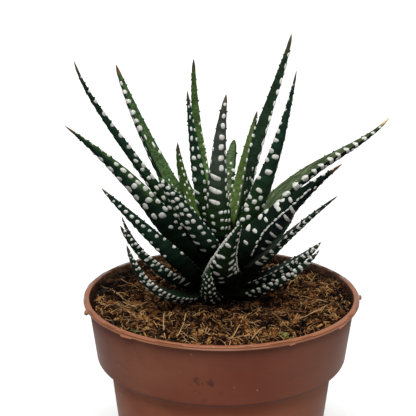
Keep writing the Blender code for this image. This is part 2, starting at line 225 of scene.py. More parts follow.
LEAVES = [
    Leaf(-97, 36, 24.5, (-100, 3.5), 9.5, 2.5, bow=3.5, sway=-1.0, depth=0.40),
    Leaf(-134, 53, 35, (-139, 3.5), 10.8, 2.6, bow=7.7, depth=0.42, roll=-9),
    Leaf(-29, 47, 28, (-45, 3.6), 9.8, 2.6, bow=2.9, roll=-6),
    Leaf(-8, 44, 26, (-8, 6.5), 10.4, 3.0, bow=1.4, depth=0.62),
    Leaf(-145, 49, 40, (-163, 6.8), 10.0, 3.0, bow=3.0, depth=0.54),
    Leaf(172, 43, 34, (176, 4.7), 6.0, 2.6, bow=5.4),
    Leaf(25, 40, 12, (22, 4.0), 9.5, 2.8, bow=2.0),
    Leaf(52, 46, 29, (50, 6.5), 9.5, 2.8, bow=3.0, depth=0.45),
    Leaf(82, 45, 27, (82, 4.0), 9.5, 2.8, bow=3.0),
    Leaf(112, 47, 30, (112, 6.5), 9.5, 2.8, bow=3.0, depth=0.45),
    Leaf(136, 37, 23, (142, 4.0), 9.5, 2.8, bow=3.0),
    Leaf(-80, 46, 46, (-81.5, 10.5), 17.3, 4.0, bow=3.0, sway=-3.8, depth=0.34, taper=0.85),
    Leaf(-31, 55, 52.5, (-20, 10.8), 12.0, 3.0, bow=-1.2, roll=18, taper=1.1),
    Leaf(-148, 55.5, 55.8, (-133, 12.3), 13.4, 3.6, bow=-0.4, depth=0.58, roll=6, taper=0.92),
    Leaf(34, 42, 30, (30, 11.0), 10.5, 3.4, bow=2.0, taper=1.0),
    Leaf(66, 44, 43, (66, 14.0), 10.5, 3.4, bow=2.0, taper=1.0),
    Leaf(98, 46, 39, (99, 11.0), 10.5, 3.4, bow=2.0, taper=1.0),
    Leaf(128, 46, 46, (131, 13.4), 10.5, 3.4, bow=2.0, taper=1.0),
    Leaf(158, 25, 31, (156, 8.5), 8.0, 3.4, bow=1.0, taper=1.0),
    Leaf(-38, 60, 67.5, (-48, 18.0), 18.5, 4.6, bow=-2.0, depth=0.38, roll=-60, taper=1.22),
    Leaf(-156, 67, 80.6, (-175, 17.8), 24.0, 4.6, bow=-3.4, depth=0.36, roll=45, taper=1.27,
         knee=0.46, turn=(0.1, 0.8)),
    Leaf(16, 78.5, 75, (8, 23.0), 16.5, 4.6, bow=-7.2, depth=0.42, taper=0.97, knee=0.36, flick=3.0),
    Leaf(52, 36, 45, (46, 19.0), 11.5, 4.2, bow=1.0, depth=0.40, taper=1.0),
    Leaf(91, 34, 51, (88, 21.0), 11.5, 4.2, bow=1.0, depth=0.40, taper=1.0),
    Leaf(132, 36, 48, (130, 18.0), 11.5, 4.2, bow=1.0, depth=0.40, taper=1.0),
    Leaf(-131.5, 36.5, 59.8, (-109, 23.4), 15.6, 4.6, bow=-1.0, depth=0.36, taper=0.65),
    Leaf(-158, 61.5, 105.5, (-176, 25.0), 9.0, 4.6, bow=1.9, roll=26, taper=0.9, flick=1.5),
    Leaf(-30, 35, 101, (-30, 26.6), 16.5, 4.6, bow=3.0, depth=0.36, roll=-18, taper=1.2),
    Leaf(149, 53, 97.6, (141, 26.0), 14.2, 4.6, bow=2.7, depth=0.38, taper=0.7, roll=10),
    Leaf(-82, 18, 91.5, (-85, 28.6), 11.0, 4.6, bow=2.0, sway=-2.6, depth=0.38),
    Leaf(40, 41.4, 111, (43, 28.5), 10.0, 4.6, bow=-1.1, depth=0.40, taper=0.7, flick=1.0),
    Leaf(75, 27, 64, (93, 26.5), 8.4, 4.2, taper=0.5),
    Leaf(23, 17.5, 80.4, (5, 34.0), 11.5, 4.4, bow=-0.6, depth=0.36, taper=0.75),
    Leaf(120, 22, 101, (110, 33.0), 7.0, 4.6, bow=5.0, taper=0.7),
    Leaf(145, 22, 65.5, (177, 32.3), 9.2, 3.6, bow=3.0),
    Leaf(-149, 15.5, 91.5, (-155, 34.0), 10.0, 4.4, bow=0.8, depth=0.36, roll=20, taper=0.95),
]

# Tubercles of the small leaves and of the hidden ones
SMALL_ROWS = (Row((350, 345), (0.12, 0.93), 3.2, 0.55, 0.7),
              Row((308, 300), (0.14, 0.88), 3.7, 0.62, 0.66),
              Row((270, 268), (0.12, 0.86), 3.9, 0.60, 0.66),
              Row((232, 238), (0.14, 0.88), 3.7, 0.62, 0.66),
              Row((190, 195), (0.12, 0.93), 3.2, 0.55, 0.7))
PLAIN_ROWS = (Row((350, 348), (0.25, 0.93), 4.2, 0.75, 1.0),
              Row((312, 305), (0.15, 0.80), 4.8, 1.1, 0.9),
              Row((270, 270), (0.20, 0.90), 4.6, 1.0, 0.95),
              Row((228, 235), (0.15, 0.80), 4.8, 1.1, 0.9),
              Row((190, 192), (0.25, 0.93), 4.2, 0.75, 1.0))

COATS = {
    1: Coat(under="bark", foot="bark", tip="moss", tip_length=3.0, rows=(
        Row((242, 252), (0.14, 0.88), 3.7, 0.56, 0.8), Row((283, 284), (0.10, 0.84), 3.9, 0.58, 0.8),
        Row((318, 322), (0.14, 0.86), 3.7, 0.54, 0.8), Row((352, 352), (0.16, 0.90), 3.4, 0.4, 0.7),
        Row((205, 210), (0.16, 0.90), 3.4, 0.4, 0.7))),
    2: Coat(rows=(
        Row((340, 352), (0.12, 0.60), 2.7, 0.86, 0.84), Row((352, 354), (0.64, 0.93), 2.6, 0.6, 0.8),
        Row((308, 312), (0.15, 0.62), 4.3, 0.78, 0.9), Row((276, 272), (0.18, 0.66), 4.4, 0.7, 0.7),
        Row((306, 306), (0.66, 0.90), 3.2, 0.5, 0.6), Row((200, 195), (0.4, 0.92), 3.6, 0.45, 0.7))),
    3: Coat(rows=(
        Row((192, 184), (0.14, 0.95), 3.0, 0.78, 0.88), Row((224, 216), (0.16, 0.84), 4.0, 0.95, 0.72),
        Row((255, 252), (0.18, 0.84), 4.2, 0.75, 0.66), Row((20, 5), (0.30, 0.92), 3.6, 0.4, 0.7))),
    4: Coat(rows=(
        Row((150, 160), (0.06, 0.95), 2.7, 0.95, 0.86), Row((205, 214), (0.14, 0.86), 4.2, 1.0, 0.72),
        Row((232, 244), (0.20, 0.90), 4.4, 0.85, 0.7), Row((10, 5), (0.20, 0.90), 3.6, 0.4, 0.7))),
    5: Coat(rows=(
        Row((350, 342), (0.20, 0.94), 2.6, 0.76, 0.84), Row((318, 306), (0.34, 0.60), 4.6, 1.0, 0.8),
        Row((326, 326), (0.13, 0.26), 3.8, 1.7, 0.45, -10), Row((300, 300), (0.70, 0.90), 4.2, 0.55, 0.7),
        Row((264, 262), (0.30, 0.90), 4.6, 0.65, 0.72), Row((205, 200), (0.4, 0.9), 3.6, 0.45, 0.7))),
    12: Coat(under="bark", foot="night", tip="bark", tip_length=2.5, rows=(
        Row((186, 190), (0.16, 0.97), 1.75, 0.48, 1.05), Row((346, 345), (0.26, 0.97), 1.9, 0.5, 1.05),
        Row((212, 216), (0.36, 0.62), 5.0, 1.25, 0.85, -24),
        Row((244, 240), (0.40, 0.76), 5.6, 1.5, 0.95, -8),
        Row((294, 302), (0.36, 0.66), 4.8, 1.5, 0.9, 6), Row((298, 296), (0.76, 0.90), 4.2, 0.75, 0.95),
        Row((264, 264), (0.27, 0.34), 4.0, 1.3, 0.85), Row((322, 326), (0.30, 0.56), 4.6, 0.9, 1.2, 18))),
    13: Coat(rows=(
        Row((150, 198), (0.44, 0.80), 3.7, 1.0, 0.85), Row((204, 222), (0.83, 0.94), 3.2, 0.5, 0.7),
        Row((176, 190), (0.20, 0.42), 4.0, 0.7, 0.9), Row((226, 240), (0.24, 0.74), 4.8, 1.0, 0.42, 10),
        Row((15, 0), (0.5, 0.92), 3.6, 0.4, 0.8))),
    14: Coat(foot="night", rows=(
        Row((326, 304), (0.50, 0.94), 3.5, 0.82, 0.88), Row((288, 282), (0.34, 0.56), 4.4, 0.9, 0.8),
        Row((262, 262), (0.56, 0.88), 4.8, 0.5, 0.7), Row((350, 348), (0.28, 0.44), 5.0, 0.6, 0.8))),
    20: Coat(under="night", foot="night", tip="rust", tip_length=6.0, side="shaded_flank", rows=(
        Row((262, 266), (0.16, 0.74), 2.3, 0.4, 1.15), Row((290, 316), (0.78, 0.84), 4.2, 0.5, 1.0),
        Row((204, 198), (0.27, 0.50), 8.0, 1.15, 1.5, 30), Row((232, 232), (0.20, 0.61), 7.1, 1.3, 0.95, 12),
        Row((184, 186), (0.30, 0.92), 4.3, 0.6, 1.35), Row((312, 304), (0.20, 0.56), 5.6, 3.5, 0.85, -30),
        Row((355, 350), (0.30, 0.92), 4.0, 0.45, 0.95))),
    21: Coat(upper="mid", foot="night", tip="rust", tip_length=5.0, wrap=(44.0, 0.0), start=0.38,
             cross=0.5, rows=(
        Row((343, 322), (0.36, 0.69), 4.3, 0.85, 1.35, 8), Row((317, 306), (0.34, 0.54), 8.4, 1.4, 1.5, 12),
        Row((288, 254), (0.35, 0.76), 6.3, 1.25, 1.7), Row((344, 345), (0.20, 0.28), 3.6, 0.8, 0.7),
        Row((318, 318), (0.27, 0.27), 5.0, 1.2, 0.9), Row((352, 350), (0.74, 0.93), 4.6, 0.4, 0.9),
        Row((190, 195), (0.40, 0.92), 5.2, 0.6, 1.2))),
    22: Coat(upper="fresh", under="night", foot="night", tip="straw", tip_length=6.0, cross=0.3,
             fleck=1.0, wrap=(0.0, -14.0), rows=(
        Row((170, 172), (0.27, 0.46), 5.3, 0.9, 1.8), Row((171, 176), (0.51, 0.93), 4.7, 0.95, 1.15),
        Row((226, 232), (0.24, 0.74), 7.6, 1.1, 1.05), Row((355, 355), (0.3, 0.92), 6.0, 0.3, 0.8))),
    26: Coat(foot="dark", tip="mid", tip_length=3.0, rows=(
        Row((355, 352), (0.10, 0.96), 3.4, 0.3, 0.8), Row((312, 315), (0.46, 0.95), 3.3, 0.95, 1.05),
        Row((286, 282), (0.48, 0.92), 4.0, 0.95, 1.0), Row((262, 264), (0.56, 0.84), 4.2, 0.6, 0.8),
        Row((268, 270), (0.09, 0.40), 4.6, 2.0, 1.05), Row((218, 226), (0.12, 0.46), 4.6, 0.95, 1.1),
        Row((318, 316), (0.12, 0.38), 4.6, 1.0, 1.0), Row((185, 188), (0.14, 0.66), 2.6, 0.3, 1.1))),
    27: Coat(tip_length=9.0, foot="moss", rows=(
        Row((346, 350), (0.34, 0.92), 5.4, 0.68, 1.35), Row((306, 308), (0.13, 0.50), 5.5, 1.0, 1.15),
        Row((264, 246), (0.38, 0.47), 4.0, 0.9, 1.2), Row((280, 280), (0.14, 0.32), 6.2, 0.9, 0.9),
        Row((200, 205), (0.5, 0.9), 7.5, 0.4, 0.8))),
    28: Coat(tip_length=7.0, foot="moss", rows=(
        Row((230, 252), (0.35, 0.55), 8.2, 1.75, 1.15, -8), Row((230, 230), (0.18, 0.27), 7.0, 1.2, 1.2),
        Row((252, 248), (0.24, 0.31), 5.0, 1.15, 1.1), Row((190, 188), (0.13, 0.68), 4.4, 0.75, 1.1),
        Row((206, 210), (0.10, 0.22), 4.6, 1.0, 1.0), Row((300, 300), (0.20, 0.92), 6.0, 0.7, 1.0),
        Row((196, 202), (0.72, 0.92), 5.4, 0.45, 0.9), Row((275, 275), (0.10, 0.26), 5.2, 1.0, 1.0))),
    29: Coat(upper="mid", foot="moss", tip="rust", tip_length=4.5, cross=1.0, rows=(
        Row((330, 4), (0.34, 0.64), 4.4, 0.95, 1.4), Row((8, 2), (0.68, 0.90), 4.6, 0.7, 1.2),
        Row((318, 322), (0.48, 0.80), 4.6, 0.5, 1.2),
        Row((110, 80), (0.25, 0.33), 2.6, 0.55, 0.55), Row((325, 320), (0.18, 0.34), 5.0, 0.9, 1.0))),
    30: Coat(tip_length=8.0, under="grey", foot="moss", rows=(
        Row((286, 272), (0.53, 0.93), 4.45, 1.12, 1.35), Row((247, 247), (0.30, 0.46), 5.1, 3.1, 1.25, -12),
        Row((276, 278), (0.10, 0.22), 4.6, 1.05, 0.9), Row((324, 326), (0.08, 0.62), 3.9, 0.7, 1.05),
        Row((236, 236), (0.08, 0.20), 5.0, 1.05, 0.95), Row((202, 200), (0.26, 0.64), 4.9, 0.5, 1.1),
        Row((350, 350), (0.14, 0.60), 3.4, 0.35, 0.8), Row((302, 300), (0.02, 0.22), 4.4, 0.8, 0.8))),
    31: Coat(foot="mid", tip_length=9.0, cross=0.6, rows=(
        Row((187, 185), (0.18, 0.90), 5.6, 0.75, 1.5), Row((152, 148), (0.16, 0.25), 6.4, 0.8, 1.0),
        Row((120, 120), (0.20, 0.31), 6.0, 0.6, 0.9), Row((190, 188), (0.15, 0.60), 3.0, 0.4, 0.8))),
    32: Coat(upper="pale", under="moss", foot="moss", tip="pale", tip_length=2.0, cross=0.9,
             wrap=(0.0, -50.0), rows=(
        Row((138, 162), (0.40, 0.66), 3.3, 0.7, 0.85), Row((90, 96), (0.62, 0.73), 3.2, 0.6, 0.6),
        Row((35, 40), (0.40, 0.74), 3.4, 0.5, 0.9))),
    33: Coat(upper="young", foot="moss", wrap=(0.0, -42.0), cross=0.7, rows=(
        Row((112, 128), (0.08, 0.64), 3.9, 0.72, 1.15), Row((168, 204), (0.70, 0.92), 3.6, 0.6, 0.95),
        Row((228, 228), (0.12, 0.40), 6.0, 0.8, 0.9), Row((36, 48), (0.16, 0.26), 4.4, 0.45, 0.7))),
    34: Coat(upper="leek", under="mid", foot="moss", cross=0.8, rows=(
        Row((122, 164), (0.30, 0.36), 4.0, 0.5, 0.9), Row((165, 170), (0.4, 0.6), 4.6, 0.35, 0.8))),
    35: Coat(upper="grass", under="mid", foot="moss", cross=0.5, rows=(
        Row((118, 104), (0.45, 0.86), 3.0, 0.62, 0.78), Row((166, 166), (0.20, 0.64), 3.2, 0.5, 0.9),
        Row((66, 80), (0.22, 0.50), 3.4, 0.6, 0.7), Row((18, 348), (0.36, 0.60), 3.0, 0.5, 0.78))),
    36: Coat(foot="moss", rows=(
        Row((284, 300), (0.58, 0.88), 4.1, 0.56, 1.1), Row((265, 281), (0.34, 0.52), 4.9, 1.0, 1.25),
        Row((256, 264), (0.17, 0.26), 4.9, 2.2, 0.95, -12), Row((322, 332), (0.20, 0.52), 3.8, 0.66, 1.05),
        Row((338, 346), (0.58, 0.90), 4.1, 0.4, 0.85), Row((290, 300), (0.03, 0.13), 3.4, 0.85, 0.8),
        Row((205, 205), (0.10, 0.70), 4.0, 0.45, 0.95))),
}

# Angles of the rows on the sides that the photograph doesn't show, and such a row's other values
HIDDEN_SIDES = {2: (225,), 3: (300, 325), 4: (290, 325), 5: (225,), 13: (305, 330), 14: (215, 235),
                21: (222,), 22: (300, 325), 27: (222,), 29: (205, 222, 240), 31: (222, 245, 295, 322),
                32: (225, 250, 275, 300, 325), 33: (300, 325), 34: (215, 240, 265, 290, 315), 35: (215, 238)}
HIDDEN_ROW = ((0.14, 0.9), 4.4, 0.85, 0.95)

# Colours as linear red, green and blue
TONES = {
    "dark": (0.0150, 0.0405, 0.0250),
    "bark": (0.0135, 0.032, 0.0120),
    "night": (0.0065, 0.0165, 0.0100),
    # Painted shade with a bluish painted reflection, for a leaf's flank turned from the light
    "shaded_flank": (0.011, 0.021, 0.022),
    "moss": (0.018, 0.046, 0.014),
    "grey": (0.056, 0.073, 0.056),
    "deep": (0.0145, 0.033, 0.016),
    "mid": (0.055, 0.108, 0.030),
    "leek": (0.070, 0.128, 0.034),
    "fresh": (0.042, 0.064, 0.024),
    "young": (0.115, 0.180, 0.046),
    "grass": (0.052, 0.092, 0.019),
    "pale": (0.096, 0.150, 0.060),
    "olive": (0.105, 0.085, 0.045),
    "rust": (0.230, 0.095, 0.038),
    "straw": (0.520, 0.380, 0.140),
}


def srgb(red, green, blue):
    """A screen colour, 0 to 255, as linear values with full opacity."""
    def linear(value):
        share = value / 255
        return share / 12.92 if share <= 0.04045 else ((share + 0.055) / 1.055) ** 2.4
    return (linear(red), linear(green), linear(blue), 1.0)


# Mesh helpers

def mesh_piece(name, points, faces, smooth=True):
    """A new object from points in millimetres."""
    mesh = bpy.data.meshes.new(name)
    mesh.from_pydata((np.asarray(points) * MM).tolist(), [], faces)
    mesh.validate()
    mesh.update()
    if smooth:
        mesh.polygons.foreach_set("use_smooth", [True] * len(mesh.polygons))
    piece = bpy.data.objects.new(name, mesh)
    bpy.context.scene.collection.objects.link(piece)
    return piece


def paint(piece, name, values):
    """Store one value, vector or colour for each point of a piece."""
    values = np.asarray(values, dtype=np.float32)
    if values.ndim == 1:
        layer = piece.data.attributes.new(name, "FLOAT", "POINT")
        layer.data.foreach_set("value", values)
    elif values.shape[1] == 3:
        layer = piece.data.attributes.new(name, "FLOAT_VECTOR", "POINT")
        layer.data.foreach_set("vector", values.ravel())
    else:
        layer = piece.data.attributes.new(name, "FLOAT_COLOR", "POINT")
        layer.data.foreach_set("color", values.ravel())


def band_faces(lower, upper, count):
    """Quads between two rings of points that start at lower and at upper."""
    return [(lower + i, lower + (i + 1) % count, upper + (i + 1) % count, upper + i) for i in range(count)]


def tube_faces(rings, sides):
    """Faces between rings of points that follow one another, and over both ends."""
    faces = []
    for k in range(rings - 1):
        faces += band_faces(k * sides, (k + 1) * sides, sides)
    last = (rings - 1) * sides
    return faces + [tuple(range(sides))[::-1], tuple(range(last, last + sides))]


def polar(radius, angle, height):
    return np.array([radius * math.cos(angle), radius * math.sin(angle), height])


def held(value):
    """A value held between 0 and 1."""
    return min(1.0, max(0.0, value))


class Pile:
    """Points, faces and tints of one piece as its parts are gathered."""

    def __init__(self):
        self.points = []
        self.faces = []
        self.tints = []

    def add(self, points, faces, tint=0.0):
        """Add one part. Its faces count from its own first point."""
        start = len(self.points)
        self.points += list(points)
        self.faces += [tuple(start + i for i in face) for face in faces]
        self.tints += [tint] * len(points)

    def piece(self, name, material, smooth=True):
        piece = mesh_piece(name, self.points, self.faces, smooth)
        if any(self.tints):
            paint(piece, "tint", self.tints)
        piece.data.materials.append(material)
        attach(piece, "root")
        return piece


# Material helpers

class Nodes:
    """Short calls that add shader nodes to one tree. Most give back the new node's output."""

    def __init__(self, tree):
        self.tree = tree

    def feed(self, socket, value):
        """Give an input a value, or link another node's output to it."""
        if hasattr(value, "is_linked"):
            self.tree.links.new(value, socket)
        else:
            socket.default_value = value

    def add(self, kind, inputs, **settings):
        node = self.tree.nodes.new(kind)
        for key, value in settings.items():
            setattr(node, key, value)
        for key, value in inputs.items():
            self.feed(node.inputs[key], value)
        return node

    def coordinates(self, kind="Object"):
        return self.add("ShaderNodeTexCoord", {}).outputs[kind]

    def attribute(self, name, output="Fac"):
        return self.add("ShaderNodeAttribute", {}, attribute_name=name).outputs[output]

    def noise(self, vector, scale, detail=3.0, roughness=0.55, distortion=0.0):
        inputs = {"Vector": vector, "Scale": scale, "Detail": detail, "Roughness": roughness,
                  "Distortion": distortion}
        return self.add("ShaderNodeTexNoise", inputs).outputs["Fac"]

    def stretched(self, vector, scale):
        return self.add("ShaderNodeMapping", {"Vector": vector, "Scale": scale}).outputs["Vector"]

    def distance(self, vector, place):
        return self.add("ShaderNodeVectorMath", {0: vector, 1: place}, operation="DISTANCE").outputs["Value"]

    def parts(self, vector):
        return self.add("ShaderNodeSeparateXYZ", {"Vector": vector}).outputs

    def ranged(self, value, low, high, to_low, to_high):
        """Take low..high of a value to to_low..to_high, held at the ends."""
        inputs = {"Value": value, "From Min": low, "From Max": high, "To Min": to_low, "To Max": to_high}
        return self.add("ShaderNodeMapRange", inputs).outputs["Result"]

    def maths(self, operation, first, second):
        return self.add("ShaderNodeMath", {0: first, 1: second}, operation=operation).outputs[0]

    def product(self, first, second):
        return self.maths("MULTIPLY", first, second)

    def ramp(self, value, stops):
        node = self.add("ShaderNodeValToRGB", {"Fac": value})
        elements = node.color_ramp.elements
        while len(elements) < len(stops):
            elements.new(0.5)
        for element, (place, colour) in zip(elements, stops):
            element.position = place
            element.color = colour
        return node.outputs["Color"]

    def mixed(self, share, first, second, blend="MIX"):
        mix = self.add("ShaderNodeMix", {}, data_type="RGBA", blend_type=blend)
        for index, value in ((0, share), (6, first), (7, second)):
            self.feed(mix.inputs[index], value)
        return mix.outputs[2]

    def tinted(self, share, colour, factors):
        """Multiply a colour by factors, for a share of it."""
        return self.mixed(share, colour, self.mixed(1.0, colour, factors, "MULTIPLY"))


def new_material(name):
    material = bpy.data.materials.new(name)
    material.use_nodes = True
    return material, Nodes(material.node_tree)


def set_shader(nodes, colour, roughness, constants, bumps=()):
    """Feed the surface shader. A bump is a height with its distance in millimetres and strength."""
    shader = nodes.tree.nodes["Principled BSDF"]
    nodes.feed(shader.inputs["Base Color"], colour)
    nodes.feed(shader.inputs["Roughness"], roughness)
    for name, value in constants.items():
        shader.inputs[name].default_value = value
    into = None
    for height, distance, strength in bumps:
        bump = nodes.add("ShaderNodeBump",
                         {"Height": height, "Distance": distance * MM, "Strength": strength})
        if into is not None:
            nodes.feed(bump.inputs["Normal"], into)
        into = bump.outputs["Normal"]
    if into is not None:
        nodes.feed(shader.inputs["Normal"], into)


# Leaf surface

def unit(vector):
    return vector / np.linalg.norm(vector)


def crown_point(azimuth, height):
    """A point just off the crown's surface, from the plant's base."""
    share = min(height / CROWN_HEIGHT, 1.0)
    return polar(CROWN_RADIUS * math.sqrt(1.0 - share * share) + GAP, math.radians(azimuth), height)


class LeafSurface:
    """The skin of one leaf: a point for each share of its length and angle round its section.

    Angle 0 is the margin on the side that the azimuth grows towards, a quarter turn is
    the middle of the upper face and three quarters the keel.
    """

    def __init__(self, leaf, draw):
        self.leaf = leaf
        angle = math.radians(leaf.azimuth)
        outward = np.array([math.cos(angle), math.sin(angle), 0.0])
        side = np.array([-math.sin(angle), math.cos(angle), 0.0])
        root = crown_point(*leaf.root)
        tip = outward * leaf.reach + np.array([0.0, 0.0, leaf.rise])
        chord = tip - root
        under = unit(np.cross(side, chord))
        if under @ outward < 0:
            under = -under
        bend = root + leaf.knee * chord + 2 * leaf.bow * under + 2 * leaf.sway * side
        t = np.linspace(0.0, 1.0, CURVE_SAMPLES)[:, None]
        course = (1 - t) ** 2 * root + 2 * t * (1 - t) * bend + t ** 2 * tip
        course = course + leaf.flick * (t / FLICK_PEAK) ** 5 * (1 - t) / (1 - FLICK_PEAK) * under
        steps = np.linalg.norm(np.diff(course, axis=0), axis=1)
        run = np.concatenate([[0.0], np.cumsum(steps)])
        self.length = run[-1]
        self.shares = run / run[-1]
        heading = np.gradient(course, axis=0)
        heading /= np.linalg.norm(heading, axis=1)[:, None]
        across = side - (heading @ side)[:, None] * heading
        across /= np.linalg.norm(across, axis=1)[:, None]
        upper = np.cross(heading, across)
        start, end = leaf.turn
        roll = np.radians(leaf.roll) * np.clip((self.shares - start) / (end - start), 0.0, 1.0)[:, None]
        self.course = course
        self.heading = heading
        self.across = np.cos(roll) * across + np.sin(roll) * upper
        self.upper = np.cos(roll) * upper - np.sin(roll) * across
        self.bands = max(LEAST_BANDS, round(self.length * BANDED_SHARE / leaf.pitch))
        self.phase = draw.uniform(0, 2 * math.pi)

    def frame(self, shares):
        def look_up(table):
            return np.stack([np.interp(shares, self.shares, table[:, k]) for k in range(3)], axis=1)
        return look_up(self.course), look_up(self.across), look_up(self.upper)

    def half_width(self, shares):
        waist = 1.0 - WAIST_LOSS * np.exp(-np.maximum(shares, 0.0) / WAIST_LENGTH)
        narrowing = np.maximum(1.0 - shares, 0.0) ** self.leaf.taper
        body = 0.5 * self.leaf.width * waist * narrowing / WIDEST_SHARE
        sway = 1.0 + 0.015 * np.sin(23 * shares + self.phase) + 0.012 * np.sin(41 * shares + 2 * self.phase)
        to_tip = np.maximum(1.0 - shares, 0.0) * self.length
        tip = TIP_FULLNESS * (1.0 - np.exp(-to_tip / 2.0)) * np.exp(-to_tip / 15.0)
        return np.maximum(body * sway + tip, TIP_HALF_WIDTH)

    def swell(self, shares):
        """The low ridge that the leaf makes under each band of tubercles."""
        wave = 0.5 - 0.5 * np.cos(2 * np.pi * shares * self.bands / LAST_BAND_SHARE)
        return RIDGE_LIFT * wave * np.minimum(1.0, self.half_width(shares) / 2.0)

    def section(self, shares, angles):
        half = self.half_width(shares)
        keel = np.maximum(self.leaf.depth * 2 * half * (0.8 + 0.4 * shares), TIP_HALF_WIDTH)
        edge = np.minimum(EDGE_HALF_THICKNESS, 0.5 * keel)
        lift = self.swell(shares)
        cosine = np.cos(angles)
        sine = np.sin(angles)
        lower = sine < 0
        dish = -DISH_SHARE * half * (1.0 - shares) * (half > 1.0)
        across = (half + 0.7 * lift) * cosine
        rise = np.where(lower, edge * sine - (keel - edge) * sine ** 2 - lift * sine ** 2,
                        edge * sine + (dish - edge) * sine ** 2)
        return across, rise

    def points(self, shares, angles):
        shares = np.asarray(shares, float)
        angles = np.asarray(angles, float)
        centre, across, upper = self.frame(np.clip(shares, 0.0, 1.0))
        u, v = self.section(shares, angles)
        return centre + u[:, None] * across + v[:, None] * upper

    def normals(self, shares, angles):
        step_share = 0.2 / self.length
        step_angle = 0.02
        along = self.points(shares + step_share, angles) - self.points(shares - step_share, angles)
        around = self.points(shares, angles + step_angle) - self.points(shares, angles - step_angle)
        normal = np.cross(around, along)
        return normal / np.maximum(np.linalg.norm(normal, axis=1), 1e-9)[:, None]

    def around_per_radian(self, share, angle):
        """Millimetres round the section for each radian of angle."""
        step = 0.3
        share = np.array([share, share])
        ends = self.points(share, np.array([angle - step, angle + step]))
        return np.linalg.norm(ends[1] - ends[0]) / (2 * step)


def seat_on_crown(point, direction):
    """Slide a root point along the leaf until it stands just inside the crown."""
    size = np.array([CROWN_RADIUS, CROWN_RADIUS, CROWN_HEIGHT]) + ROOT_SINK
    scaled_point = point / size
    scaled_direction = direction / size
    a = scaled_direction @ scaled_direction
    b = 2 * scaled_point @ scaled_direction
    c = scaled_point @ scaled_point - 1.0
    inside_root = b * b - 4 * a * c
    slide = (-b + math.sqrt(inside_root)) / (2 * a) if inside_root > 0 else ROOT_SLIDE_BACK
    return point + direction * min(max(slide, ROOT_SLIDE_BACK), ROOT_SLIDE_OUT)


